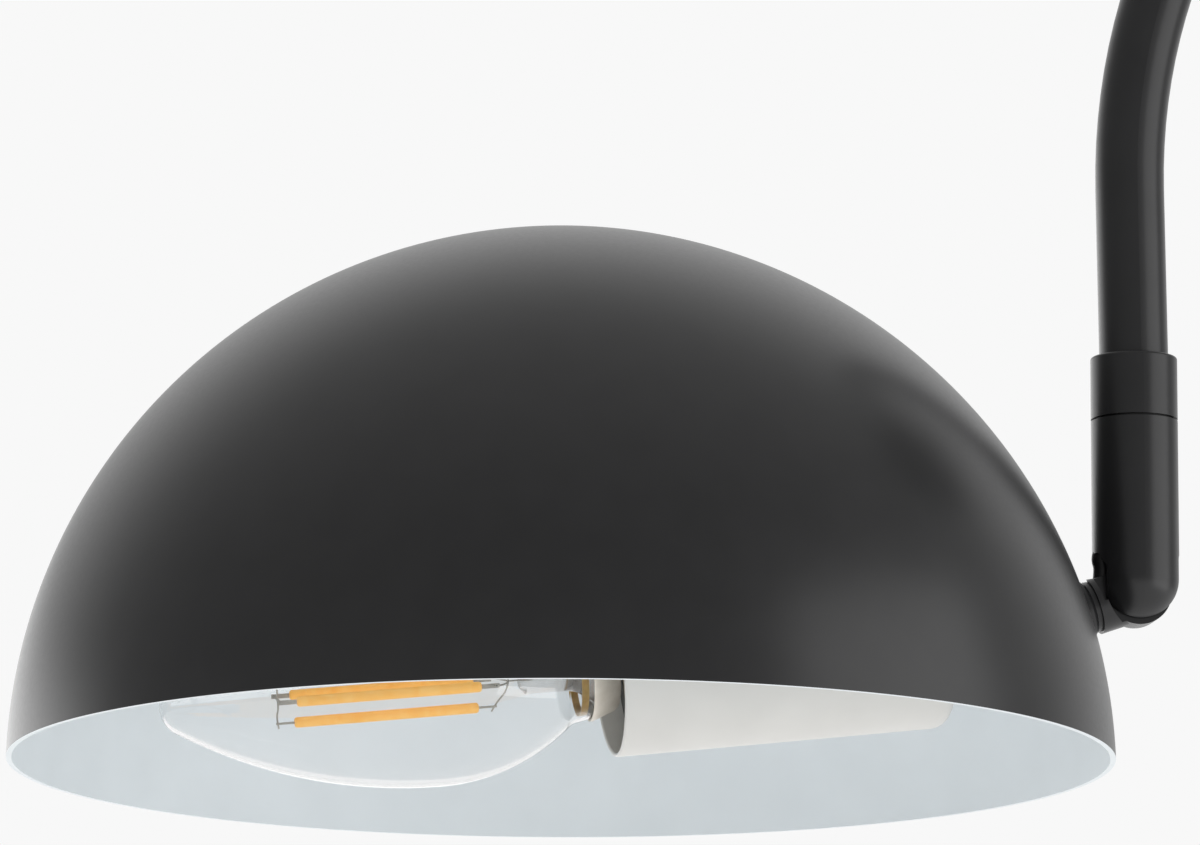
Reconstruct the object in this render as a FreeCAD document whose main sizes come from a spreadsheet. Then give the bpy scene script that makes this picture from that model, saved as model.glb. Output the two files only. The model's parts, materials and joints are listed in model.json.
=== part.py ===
import FreeCAD, Part

# Wall lamp with a hanging half-sphere shade. A round wall plate holds a bent tube; at the
# tube's lower end a swivel turns the knuckle about the vertical, and the shade tilts on a
# pin in the knuckle's slot. The origin is the middle of the strap's back face, on the wall:
# +Z is up, -Y is out of the wall and +X is to the side. All sizes are in millimetres.

import math
import os

import Sketcher

SIZES = [
    # alias, value, what it measures
    ("strap_w", 24, "width of the wall strap"),
    ("strap_t", 1.5, "thickness of the wall strap"),
    ("slot_pitch", 60, "distance between the strap's two screw slots"),
    ("slot_w", 5, "width of a screw slot"),
    ("slot_span", 12, "end-to-end length of a screw slot"),
    ("cable_hole_d", 14, "hole in the strap for the house cable"),
    ("lug_out", 13, "how far the strap's folded lugs reach out from the wall"),
    ("lug_gap", 0.3, "gap between a lug and the wall plate's rim"),
    ("plate_d", 100, "diameter of the round wall plate"),
    ("plate_out", 25, "depth of the wall plate"),
    ("plate_t", 1.0, "sheet thickness of the wall plate"),
    ("plate_edge", 5, "outer radius of the wall plate's front edge"),
    ("side_screw_d", 4, "thread of the two side screws"),
    ("side_screw_out", 8, "distance of the side screws from the wall"),
    ("side_screw_head_d", 7, "head of a side screw"),
    ("terminal_l", 16, "length of the terminal block, along the strap"),
    ("terminal_w", 20, "width of the terminal block"),
    ("terminal_out", 12, "height of the terminal block above the strap"),
    ("terminal_drop", 12, "from the arm's axis down to the terminal block"),
    ("stiffener_d", 44, "diameter of the stiffening disc behind the wall plate"),
    ("stiffener_t", 2.0, "thickness of the stiffening disc"),
    ("nipple_d", 10, "outer diameter of the threaded nipple in the arm's end"),
    ("nipple_bore", 6.4, "bore of that nipple"),
    ("nipple_in_tube", 12, "how far the nipple reaches into the arm"),
    ("nipple_tail", 1.6, "thread left standing past the nipple's nut"),
    ("lock_washer_t", 1.0, "thickness of the toothed washer"),
    ("nipple_nut_af", 14, "across flats of the nipple's nut"),
    ("nipple_nut_t", 4, "thickness of the nipple's nut"),
    ("ferrule_d", 18, "diameter of the ferrule where the arm meets the wall plate"),
    ("ferrule_l", 10, "length of the ferrule"),
    ("tube_d", 12.7, "outer diameter of the arm"),
    ("tube_t", 1.2, "wall of the arm"),
    ("arm_run", 43, "from the wall to the start of the arm's bend"),
    ("arm_bend", 117, "centreline radius of the arm's bend"),
    ("arm_lean", 0.8, "lean of the arm's straight leg, degrees"),
    ("leg_span", 29.8, "length of the arm's straight leg"),
    ("leg_bend", 120, "radius of the set that brings the leg upright"),
    ("tube_seat", 4.2, "how far the arm goes into the collar"),
    ("collar_d", 16, "diameter of the collar and the knuckle"),
    ("collar_l", 11.6, "height of the collar"),
    ("collar_web", 2.5, "floor of the collar, which the swivel stud goes through"),
    ("collar_pocket_d", 12.4, "pocket in the collar for the stud's nut"),
    ("swivel_gap", 0.4, "gap between the collar and the knuckle"),
    ("stud_d", 8, "swivel stud and tilt spigot"),
    ("stud_bore", 4.8, "wire bore of the stud, the knuckle and the stub"),
    ("stud_nut_t", 3.4, "thickness of the stud's round nut"),
    ("spring_t", 0.8, "thickness of the stud's spring washer"),
    ("stud_seat", 8, "how far the stud is screwed into the knuckle"),
    ("stop_pin_d", 2, "pin that stops the swivel"),
    ("stop_pin_at", 5.9, "distance of the stop pin from the swivel's axis"),
    ("stop_pin_reach", 1.2, "how far the stop pin reaches into the knuckle's groove"),
    ("swivel_turn", 120, "turn of the knuckle each way, degrees"),
    ("knuckle_drop", 31.8, "from the knuckle's top face down to the tilt pin"),
    ("knuckle_nose", 2.3, "centre of the knuckle's round end above the tilt pin"),
    ("eye_slot_w", 6.2, "slot in the knuckle for the stub's eye"),
    ("eye_slot_top", 6.9, "top of the slot above the tilt pin"),
    ("stub_slot_w", 9.4, "wider mouth of the slot, at the front"),
    ("stub_slot_in", 6.2, "floor of the wider mouth in front of the tilt pin"),
    ("lead_at", 13.6, "start of the slanted wire hole above the tilt pin"),
    ("lead_slope", 34.5, "slope of the slanted wire hole from the vertical, degrees"),
    ("lead_d", 5, "diameter of the slanted wire hole"),
    ("wire_out", 6.9, "flex in the slot's mouth, in front of the tilt pin"),
    ("wire_low", 4.6, "where the flex turns down in the mouth, above the tilt pin"),
    ("wire_bend", 9.3, "bends of the flex inside the knuckle"),
    ("wire_turn", 4, "bend of the flex into the stub"),
    ("pin_d", 4, "tilt pin"),
    ("pin_head_d", 5.8, "head of the tilt pin"),
    ("pin_head_t", 1.4, "thickness of the pin's head"),
    ("pin_sink", 2, "depth of the round recess that the pin's head lies in"),
    ("pin_reach", 6.2, "how far the tilt pin reaches into the near cheek"),
    ("run_gap", 0.05, "running gap of turning fits, on the radius or on a face"),
    ("eye_d", 12.4, "round eye at the stub's end"),
    ("eye_t", 5.2, "thickness of the eye"),
    ("shoulder_d", 13.5, "round shoulder where the stub thickens"),
    ("stub_d", 10.5, "diameter of the tilt stub"),
    ("stub_l", 8.5, "from the tilt pin to the stub's seat"),
    ("stub_tilt", 19.3, "slope of the stub below the level, degrees"),
    ("stub_bore_at", 5.4, "where the stub's wire bore starts, from the tilt pin"),
    ("entry_at", 2.7, "where the stub's wire slot starts, from the tilt pin"),
    ("spigot_l", 12.2, "length of the threaded spigot past the seat"),
    ("seat_d", 10.8, "diameter of the cone seat on the shade"),
    ("seat_neck_d", 9.5, "waist of the cone seat, next to the stub"),
    ("seat_neck_l", 0.9, "length of that waist"),
    ("dome_gap", 13, "from the tilt pin to the shade's outer face"),
    ("dome_d", 200, "diameter of the shade's sphere"),
    ("dome_t", 1.0, "wall of the shade"),
    ("rim_up", 3.1, "height of the shade's rim above the sphere's centre"),
    ("inner_washer_d", 18, "washer inside the shade"),
    ("inner_washer_t", 1.5, "thickness of that washer"),
    ("coupler_af", 13, "across flats of the coupling nut"),
    ("coupler_l", 10, "length of the coupling nut"),
    ("thread_gap", 0.05, "radial gap drawn between threaded pieces"),
    ("elbow_at", 30.4, "from the tilt pin to the corner of the bent nipple"),
    ("elbow_bend", 15, "bend radius of the bent nipple"),
    ("elbow_to_cup", 7.7, "from that corner to the back of the lampholder cover"),
    ("cup_tilt", 6.2, "slope of the bulb below the level, degrees"),
    ("cup_d", 30.6, "diameter of the lampholder cover at its mouth"),
    ("cup_back_d", 29.8, "diameter of the cover at its back"),
    ("cup_l", 62, "length of the lampholder cover"),
    ("cup_t", 0.8, "wall of the cover"),
    ("cup_edge", 3.5, "radius of the cover's back edge"),
    ("cup_nut_t", 3, "thickness of the cover's nut"),
    ("holder_d", 27, "diameter of the lampholder"),
    ("holder_in", 4, "front of the lampholder behind the cover's mouth"),
    ("holder_split", 44, "joint of the lampholder's two halves, behind the mouth"),
    ("holder_t", 1.6, "wall of the lampholder"),
    ("holder_mouth_d", 18.4, "opening of the lampholder"),
    ("shell_t", 0.4, "wall of the thread shell"),
    ("shell_gap", 0.1, "gap between the bulb's thread and the shell"),
    ("insert_d", 22, "diameter of the insulating insert"),
    ("insert_t", 12, "thickness of the insulating insert"),
    ("cap_out", 4.2, "rim of the bulb's cap in front of the cover's mouth"),
    ("cap_skirt_d", 17, "diameter of the cap's flared skirt"),
    ("cap_d", 13.9, "diameter of the cap's thread"),
    ("cap_t", 0.35, "wall of the cap"),
    ("skirt_l", 4.6, "length of the cap's skirt"),
    ("thread_l", 15, "length of the cap's threaded part"),
    ("contact_l", 25, "from the cap's rim to its end contact"),
    ("glass_d", 36, "greatest diameter of the glass"),
    ("glass_t", 0.7, "wall of the glass"),
    ("glass_widest", 27.8, "widest place of the glass, from the cap's rim"),
    ("glass_neck_d", 17.8, "neck of the glass"),
    ("glass_in_cap", 1.6, "how far the glass reaches into the cap's skirt"),
    ("neck_step", 0.6, "step of the neck in front of the cap's rim"),
    ("cement_out", 2.2, "how far the cement reaches in front of the cap's rim"),
    ("cement_t", 0.6, "thickness of the ring of cement"),
    ("shoulder_bend", 37, "profile radius from the neck to the widest place"),
    ("taper_bend", 91, "profile radius from the widest place to the tip"),
    ("tip_turn", 31.5, "slope at which the small round tip begins, degrees"),
    ("filament_d", 1.9, "diameter of a filament stick"),
    ("filament_l", 33.6, "length of a filament stick"),
    ("filament_at", 20, "start of the filaments, from the cap's rim"),
    ("filament_ring_d", 8.8, "circle that the filaments stand on"),
    ("tab_l", 4, "flat metal tab at each end of a filament"),
    ("tab_w", 1.0, "width of a tab"),
    ("tab_t", 0.3, "thickness of a tab"),
    ("wire_d", 0.45, "wires that join the tabs"),
    ("wire_at", 2.9, "where a wire crosses the tabs, from the filament's end"),
    ("wire_past", 0.7, "how far a wire reaches past the filaments' circle"),
    ("wire_bow", 1.8, "bow of the wires near the stem"),
    ("post_d", 0.8, "wire post on the stem's tip"),
    ("stem_d", 5.2, "diameter of the glass stem"),
    ("stem_l", 14, "length of the glass stem"),
    ("flex_d", 3.6, "the lamp's two-core flex"),
    ("flex_bend", 6, "bend of the flex behind the wall plate"),
    ("flex_clear", 0.3, "gap between the ends of the flex's stretches"),
]

LEAN = "(Sizes.arm_lean * 1deg)"
TILT = "(Sizes.stub_tilt * 1deg)"
KINK = "((Sizes.stub_tilt - Sizes.cup_tilt) * 1deg)"
TIP = "(Sizes.tip_turn * 1deg)"

# The swivel's axis, out from the wall, and heights below the arm's axis.
AXIS_OUT = (
    "(Sizes.arm_run + Sizes.arm_bend * cos(LEAN) - Sizes.leg_span * sin(LEAN)"
    " - Sizes.leg_bend * (1 - cos(LEAN)))"
).replace("LEAN", LEAN)
COLLAR_DROP = (
    "(Sizes.arm_bend * (1 + sin(LEAN)) + Sizes.leg_span * cos(LEAN)"
    " + Sizes.leg_bend * sin(LEAN))"
).replace("LEAN", LEAN)
GAP_DROP = f"({COLLAR_DROP} + Sizes.collar_l + Sizes.swivel_gap)"
PIN_DROP = f"({GAP_DROP} + Sizes.knuckle_drop)"
DOME_R = "(Sizes.dome_d / 2)"
DOME_AT = f"(Sizes.dome_gap + {DOME_R})"
SOCKET_R = "(Sizes.cap_d / 2 + Sizes.shell_gap)"
# End of the knuckle's flex inside the stub, from the tilt pin.
KNUCKLE_FLEX_END = (
    f"(Sizes.wire_out / cos({TILT}) + Sizes.wire_turn * tan((90deg - {TILT}) / 2) + 0.4)"
)
# The lugs' outer corners stand just inside the wall plate's round rim.
LUG_AT = (
    "sqrt((Sizes.plate_d / 2 - Sizes.plate_t - Sizes.lug_gap) ^ 2"
    " - (Sizes.strap_w / 2) ^ 2)"
)


def at(x, y, z, turn="0"):
    """A frame moved by x, y, z and turned about X by so many degrees."""
    return f"placement(vector({x}; {y}; {z}); rotation(vector(1; 0; 0); {turn}))"


# Frames of the parts. In the wall's frame Z points out of the wall and Y up; in the others
# Z runs along the part's own axis.
WALL = at("0", "0", "0", "90")
SWIVEL = at("0", f"-{AXIS_OUT}", f"-{GAP_DROP}")
PIN = at("0", f"-{AXIS_OUT}", f"-{PIN_DROP}")
STUB = at("0", f"-{AXIS_OUT}", f"-{PIN_DROP}", "90 + Sizes.stub_tilt")
DOME = at(
    "0",
    f"-{AXIS_OUT} - {DOME_AT} * cos({TILT})",
    f"-{PIN_DROP} - {DOME_AT} * sin({TILT})",
)
CUP = (
    STUB
    + " * "
    + at("0", "0", "Sizes.elbow_at", "Sizes.cup_tilt - Sizes.stub_tilt")
    + " * "
    + at("0", "0", "Sizes.elbow_to_cup + Sizes.cup_l")
)
BULB = CUP + " * " + at("0", "0", "Sizes.cap_out")

doc = FreeCAD.newDocument("WallLamp")


def make_sheet():
    """Puts the driving dimensions in the spreadsheet."""
    sheet = doc.addObject("Spreadsheet::Sheet", "Sizes")
    for row, (alias, value, meaning) in enumerate(SIZES, start=1):
        sheet.set(f"A{row}", meaning)
        sheet.set(f"B{row}", str(value))
        sheet.setAlias(f"B{row}", alias)
    doc.recompute()
    return sheet


sheet = make_sheet()
parts = []
tubes = []


def value(expression):
    """The number that an expression on the sheet gives now."""
    number = sheet.evalExpression(str(expression))
    return float(getattr(number, "Value", number))


def keep(item, label):
    """Marks an object as one finished sub-part."""
    item.Label = label
    parts.append(item)
    return item


def body_at(name, frame):
    """An empty body standing in the given frame."""
    body = doc.addObject("PartDesign::Body", name)
    body.setExpression("Placement", frame)
    return body


def plane_of(body, role):
    """One of a body's own origin planes."""
    return next(f for f in body.Origin.OriginFeatures if f.Role == role)


def new_sketch(body, name, role, lift="0"):
    """A sketch on an origin plane of the body, lifted off it along its normal."""
    sketch = body.newObject("Sketcher::SketchObject", name)
    sketch.AttachmentSupport = (plane_of(body, role), [""])
    sketch.MapMode = "FlatFace"
    sketch.setExpression("AttachmentOffset.Base.z", lift)
    return sketch


def pin_point(sketch, edge, end, x, y):
    """Ties one end of an edge to the sheet."""
    for kind, axis, expression in (("DistanceX", -2, x), ("DistanceY", -1, y)):
        if str(expression) == "0":
            sketch.addConstraint(Sketcher.Constraint("PointOnObject", edge, end, axis))
        else:
            constraint = Sketcher.Constraint(kind, -1, 1, edge, end, value(expression))
            index = sketch.addConstraint(constraint)
            sketch.setExpression(f"Constraints[{index}]", str(expression))


def arc_between(start, end, radius):
    """An arc from start to end; a positive radius turns left, a negative one right."""
    chord = end - start
    side = math.copysign(1, radius)
    reach = math.sqrt(max(radius * radius - chord.Length ** 2 / 4, 0))
    left = FreeCAD.Vector(-chord.y, chord.x, 0).normalize()
    centre = start + chord * 0.5 + left * reach * side
    circle = Part.Circle(centre, FreeCAD.Vector(0, 0, 1), abs(radius))
    ends = (start, end) if side > 0 else (end, start)
    return Part.ArcOfCircle(circle, circle.parameter(ends[0]), circle.parameter(ends[1]))


def draw(sketch, steps, closed=True):
    """Draws a chain of lines and arcs.

    A step (x, y) is a straight line to that point and (x, y, radius) an arc to it; the first
    step of a closed chain says how the chain comes back to its start.
    """
    spots = [FreeCAD.Vector(value(s[0]), value(s[1]), 0) for s in steps]
    first = 0 if closed else 1
    edges = []
    for i in range(first, len(steps)):
        start, end = spots[i - 1], spots[i]
        if len(steps[i]) == 2:
            edge = sketch.addGeometry(Part.LineSegment(start, end), False)
            edges.append((edge, 1, 2, steps[i]))
            continue
        radius = value(steps[i][2])
        edge = sketch.addGeometry(arc_between(start, end, radius), False)
        ends = (1, 2) if radius > 0 else (2, 1)
        edges.append((edge, *ends, steps[i]))
        index = sketch.addConstraint(Sketcher.Constraint("Radius", edge, abs(radius)))
        sketch.setExpression(f"Constraints[{index}]", f"abs({steps[i][2]})")
    for i, (edge, begin, finish, step) in enumerate(edges):
        before = edges[i - 1]
        if closed or i > 0:
            joint = Sketcher.Constraint("Coincident", before[0], before[2], edge, begin)
            sketch.addConstraint(joint)
        pin_point(sketch, edge, finish, step[0], step[1])
    if not closed:
        pin_point(sketch, edges[0][0], edges[0][1], steps[0][0], steps[0][1])
    return sketch


def box_steps(x0, y0, x1, y1):
    """The corners of an upright rectangle."""
    return [(x0, y0), (x1, y0), (x1, y1), (x0, y1)]


def circle(sketch, diameter, x="0", y="0"):
    """A circle of the given diameter."""
    centre = FreeCAD.Vector(value(x), value(y), 0)
    ring = Part.Circle(centre, FreeCAD.Vector(0, 0, 1), value(diameter) / 2)
    edge = sketch.addGeometry(ring, False)
    pin_point(sketch, edge, 3, x, y)
    index = sketch.addConstraint(Sketcher.Constraint("Diameter", edge, value(diameter)))
    sketch.setExpression(f"Constraints[{index}]", diameter)


def revolve(body, name, steps):
    """Turns a half profile (radius, height) about the body's Z axis."""
    sketch = draw(new_sketch(body, f"{name}Profile", "XZ_Plane"), steps)
    turned = body.newObject("PartDesign::Revolution", name)
    turned.Profile = sketch
    turned.ReferenceAxis = (sketch, ["V_Axis"])
    turned.Angle = 360
    return turned


def pad(body, name, sketch, length, both_ways=False):
    """Thickens a sketch by a length."""
    grown = body.newObject("PartDesign::Pad", name)
    grown.Profile = sketch
    grown.Midplane = both_ways
    grown.setExpression("Length", length)
    return grown


def pocket(body, name, sketch, length, both_ways=False, flip=False):
    """Cuts a sketch into the body, and checks that it did cut."""
    doc.recompute()
    before = body.Shape.Volume
    cut = body.newObject("PartDesign::Pocket", name)
    cut.Profile = sketch
    cut.Midplane = both_ways
    cut.Reversed = flip
    cut.setExpression("Length", length)
    doc.recompute()
    if body.Shape.Volume > before - 1e-6:
        raise RuntimeError(f"{name} cuts nothing")
    return cut


def turned_part(label, frame, steps):
    """A sub-part that is one turned solid."""
    body = body_at(label.title().replace("_", ""), frame)
    revolve(body, body.Name + "Turned", steps)
    return keep(body, label)


def ring_steps(inner, outer, low, high):
    """Profile of a plain ring between two heights."""
    return box_steps(inner, low, outer, high)


def tube_along(label, frame, steps, outer, bore=None):
    """A round bar or tube swept along a path that starts up the frame's Z axis."""
    name = label.title().replace("_", "")
    body = body_at(name, frame)
    path = draw(new_sketch(body, f"{name}Path", "YZ_Plane"), steps, closed=False)
    section = new_sketch(body, f"{name}Section", "XY_Plane")
    circle(section, outer)
    if bore:
        circle(section, bore)
    swept = body.newObject("PartDesign::AdditivePipe", f"{name}Sweep")
    swept.Profile = section
    swept.Spine = (path, [])
    bends = [abs(value(step[2])) for step in steps if len(step) == 3]
    tubes.append((body, path, value(outer), value(bore) if bore else 0, bends))
    return keep(body, label)


def hex_nut(label, frame, flats, thickness, hole, low):
    """A hexagon nut with a plain hole, standing at a height in its frame."""
    name = label.title().replace("_", "")
    block = doc.addObject("Part::Prism", f"{name}Block")
    block.Polygon = 6
    block.setExpression("Circumradius", f"{flats} / sqrt(3)")
    block.setExpression("Height", thickness)
    bore = doc.addObject("Part::Cylinder", f"{name}Hole")
    bore.setExpression("Radius", hole)
    bore.setExpression("Height", thickness)
    nut = doc.addObject("Part::Cut", name)
    nut.Base = block
    nut.Tool = bore
    nut.setExpression("Placement", f"{frame} * {at('0', '0', low)}")
    return keep(nut, label)


def make_strap():
    """Pressed strap on the wall, with two slots, a cable hole and two folded lugs."""
    reach = LUG_AT
    body = body_at("WallStrap", WALL)
    side = new_sketch(body, "StrapSide", "YZ_Plane")
    draw(side, [
        (reach, "Sizes.lug_out"),
        (f"{reach} - Sizes.strap_t", "Sizes.lug_out"),
        (f"{reach} - Sizes.strap_t", "Sizes.strap_t"),
        (f"Sizes.strap_t - {reach}", "Sizes.strap_t"),
        (f"Sizes.strap_t - {reach}", "Sizes.lug_out"),
        (f"-{reach}", "Sizes.lug_out"),
        (f"-{reach}", "0"),
        (reach, "0"),
    ])
    pad(body, "StrapSheet", side, "Sizes.strap_w", both_ways=True)
    slots = new_sketch(body, "StrapSlots", "XY_Plane")
    circle(slots, "Sizes.cable_hole_d")
    straight = "(Sizes.slot_span - Sizes.slot_w) / 2"
    half = "Sizes.slot_w / 2"
    for side_sign in ("", "-"):
        middle = f"{side_sign}Sizes.slot_pitch / 2"
        draw(slots, [
            (f"-{half}", f"{middle} - {straight}"),
            ("0", f"{middle} - {straight} - {half}", half),
            (half, f"{middle} - {straight}", half),
            (half, f"{middle} + {straight}"),
            ("0", f"{middle} + {straight} + {half}", half),
            (f"-{half}", f"{middle} + {straight}", half),
        ])
    pocket(body, "StrapHoles", slots, "Sizes.strap_t * 2", both_ways=True)
    taps = new_sketch(body, "LugTaps", "XZ_Plane")
    circle(taps, "Sizes.side_screw_d + 2 * Sizes.thread_gap", "0", "Sizes.side_screw_out")
    pocket(body, "LugHoles", taps, "Sizes.plate_d", both_ways=True)
    keep(body, "wall_strap")


def make_wall_plate():
    """Drawn round plate that covers the strap, with a nipple hole and two screw holes."""
    body = body_at("WallPlate", WALL)
    outer = "Sizes.plate_d / 2"
    inner = f"({outer} - Sizes.plate_t)"
    front = "Sizes.plate_out"
    back = "(Sizes.plate_out - Sizes.plate_t)"
    revolve(body, "PlateTurned", [
        ("Sizes.nipple_d / 2 + 0.2", front),
        ("Sizes.nipple_d / 2 + 0.2", back),
        (f"{outer} - Sizes.plate_edge", back),
        (inner, f"{front} - Sizes.plate_edge", "-(Sizes.plate_edge - Sizes.plate_t)"),
        (inner, "0"),
        (outer, "0"),
        (outer, f"{front} - Sizes.plate_edge"),
        (f"{outer} - Sizes.plate_edge", front, "Sizes.plate_edge"),
    ])
    holes = new_sketch(body, "PlateScrewHoles", "XZ_Plane")
    circle(holes, "Sizes.side_screw_d + 0.4", "0", "Sizes.side_screw_out")
    pocket(body, "PlateHoles", holes, "Sizes.plate_d + 1", both_ways=True)
    keep(body, "wall_plate")


def make_side_screws():
    """Two round-headed screws through the plate's rim into the strap's lugs."""
    outer = "(Sizes.plate_d / 2)"
    turned = []
    for name, turn in (("TopScrew", "-90"), ("LowScrew", "90")):
        body = body_at(name, f"{WALL} * {at('0', '0', 'Sizes.side_screw_out', turn)}")
        shank = "(Sizes.side_screw_d / 2)"
        head = "(Sizes.side_screw_head_d / 2)"
        tip = f"({LUG_AT} - Sizes.strap_t - 1.5)"
        revolve(body, f"{name}Turned", [
            ("0", tip),
            (f"{shank} - 0.5", tip),
            (shank, f"{tip} + 0.5"),
            (shank, outer),
            (head, outer),
            (head, f"{outer} + 1"),
            (f"{head} - 1.2", f"{outer} + 2.4"),
            ("0", f"{outer} + 2.4"),
        ])
        turned.append(body)
    pair = doc.addObject("Part::Compound", "SideScrews")
    pair.Links = turned
    keep(pair, "side_screws")


def make_terminal_block():
    """Insulating block on the strap, with three wire ways and screw wells."""
    body = body_at("TerminalBlock", WALL)
    top = "(-Sizes.terminal_drop)"
    low = f"({top} - Sizes.terminal_l)"
    half = "(Sizes.terminal_w / 2)"
    base = new_sketch(body, "BlockBase", "XY_Plane", "Sizes.strap_t")
    draw(base, box_steps(f"-{half}", low, half, top))
    pad(body, "BlockBody", base, "Sizes.terminal_out")
    ways = new_sketch(body, "WireWays", "XZ_Plane", "Sizes.terminal_drop - 1")
    pitch = "(Sizes.terminal_w / 3)"
    for place in (f"-{pitch}", "0", pitch):
        circle(ways, "Sizes.terminal_w / 5", place, "Sizes.strap_t + Sizes.terminal_out / 2")
    pocket(body, "WayHoles", ways, "Sizes.terminal_l + 2", flip=True)
    return keep(body, "terminal_block")


def make_terminal_tubes():
    """Three brass clamp tubes lining the block's wire ways, each with a screw head."""
    made = []
    pitch = "(Sizes.terminal_w / 3)"
    middle = "(Sizes.strap_t + Sizes.terminal_out / 2)"
    for i, place in enumerate((f"-{pitch}", "0", pitch)):
        centre = at(place, "-Sizes.terminal_drop", middle, "90")
        body = body_at(f"Clamp{i}", f"{WALL} * {centre}")
        outer = "Sizes.terminal_w / 10"
        revolve(body, f"Clamp{i}Turned", ring_steps(
            f"{outer} - 0.6", outer, "1.5", "Sizes.terminal_l - 1.5"))
        made.append(body)
    group = doc.addObject("Part::Compound", "TerminalTubes")
    group.Links = made
    keep(group, "terminal_tubes")


def make_wall_fixings():
    """What clamps the arm to the plate: stiffener, toothed washer, nut and nipple."""
    back = "(Sizes.plate_out - Sizes.plate_t)"
    hole = "(Sizes.nipple_d / 2 + 0.2)"
    disc = f"({back} - Sizes.stiffener_t)"
    washer = f"({disc} - Sizes.lock_washer_t)"
    nut = f"({washer} - Sizes.nipple_nut_t)"
    turned_part("stiffener_disc", WALL, ring_steps(
        hole, "Sizes.stiffener_d / 2", disc, back))
    turned_part("toothed_washer", WALL, ring_steps(
        hole, "Sizes.nipple_nut_af / 2 + 1", washer, disc))
    hex_nut("nipple_nut", WALL, "Sizes.nipple_nut_af", "Sizes.nipple_nut_t",
            "Sizes.nipple_d / 2 + Sizes.thread_gap", nut)
    turned_part("arm_nipple", WALL, ring_steps(
        "Sizes.nipple_bore / 2", "Sizes.nipple_d / 2",
        f"{nut} - Sizes.nipple_tail", "Sizes.plate_out + Sizes.nipple_in_tube"))
    front = "Sizes.plate_out"
    bore = "(Sizes.tube_d / 2 + Sizes.thread_gap)"
    ferrule = "(Sizes.ferrule_d / 2)"
    end = f"({front} + Sizes.ferrule_l)"
    turned_part("arm_ferrule", WALL, [
        (bore, end),
        (bore, front),
        (ferrule, front),
        (ferrule, f"{end} - 3"),
        (f"{bore} + 0.6", end, "(Sizes.ferrule_d / 2) * 0.5"),
    ])


def arm_path(start, finish):
    """Centreline of the arm (up, out), from start short of the bend to finish past it."""
    low = f"(-Sizes.arm_bend * (1 + sin({LEAN})))"
    out = f"({start} + Sizes.arm_bend * cos({LEAN}))"
    leg_low = f"({low} - Sizes.leg_span * cos({LEAN}))"
    leg_out = f"({out} - Sizes.leg_span * sin({LEAN}))"
    set_low = f"({leg_low} - Sizes.leg_bend * sin({LEAN}))"
    set_out = f"({leg_out} - Sizes.leg_bend * (1 - cos({LEAN})))"
    return [
        ("0", start),
        (low, out, "Sizes.arm_bend"),
        (leg_low, leg_out),
        (set_low, set_out, "-Sizes.leg_bend"),
        (f"{set_low} - {finish}", set_out),
    ]


def make_arm():
    """Bent steel tube from the wall plate down into the collar."""
    frame = f"{WALL} * {at('0', '0', 'Sizes.plate_out')}"
    path = [("0", "0")] + arm_path("(Sizes.arm_run - Sizes.plate_out)", "Sizes.tube_seat")
    tube_along("arm_tube", frame, path, "Sizes.tube_d", "Sizes.tube_d - 2 * Sizes.tube_t")


def make_arm_flex():
    """Flex from the terminal block through the arm to the swivel stud's lower end."""
    middle = "(Sizes.strap_t + Sizes.terminal_out / 2)"
    frame = f"{WALL} * {at('0', '-Sizes.terminal_drop', middle, '-90')}"
    drop = "Sizes.terminal_drop"
    bend = "Sizes.flex_bend"
    # This frame's Z is up the wall and its -Y is out of it.
    end = (
        f"(Sizes.arm_run - {middle})"
    )
    below = "(Sizes.collar_l + Sizes.swivel_gap + Sizes.stud_seat - Sizes.flex_clear)"
    out_and_up = [(f"-({x[1]})", f"{drop} + {x[0]}", *x[2:]) for x in arm_path(end, below)]
    path = [
        ("0", "0"),
        ("0", f"{drop} - {bend}"),
        (f"-{bend}", drop, bend),
    ] + out_and_up
    tube_along("arm_flex", frame, path, "Sizes.flex_d")


def make_collar():
    """Collar brazed on the arm's end, with the stud's hole and the stop pin's hole."""
    body = body_at("SwivelCollar", SWIVEL)
    outer = "(Sizes.collar_d / 2)"
    floor = "Sizes.swivel_gap"
    top = "(Sizes.swivel_gap + Sizes.collar_l)"
    pocket_floor = f"({floor} + Sizes.collar_web)"
    seat = f"({top} - Sizes.tube_seat)"
    hole = "(Sizes.stud_d / 2 + Sizes.run_gap)"
    well = "(Sizes.collar_pocket_d / 2)"
    mouth = "(Sizes.tube_d / 2 + Sizes.thread_gap)"
    revolve(body, "CollarTurned", [
        (hole, floor),
        (outer, floor),
        (outer, f"{top} - 0.5"),
        (f"{outer} - 0.5", top, "0.5"),
        (mouth, top),
        (mouth, seat),
        (well, seat),
        (well, pocket_floor),
        (hole, pocket_floor),
    ])
    spot = new_sketch(body, "StopPinSpot", "XY_Plane", floor)
    circle(spot, "Sizes.stop_pin_d", "0", "Sizes.stop_pin_at")
    pocket(body, "StopPinHole", spot, "Sizes.collar_web", flip=True)
    keep(body, "swivel_collar")


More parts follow.
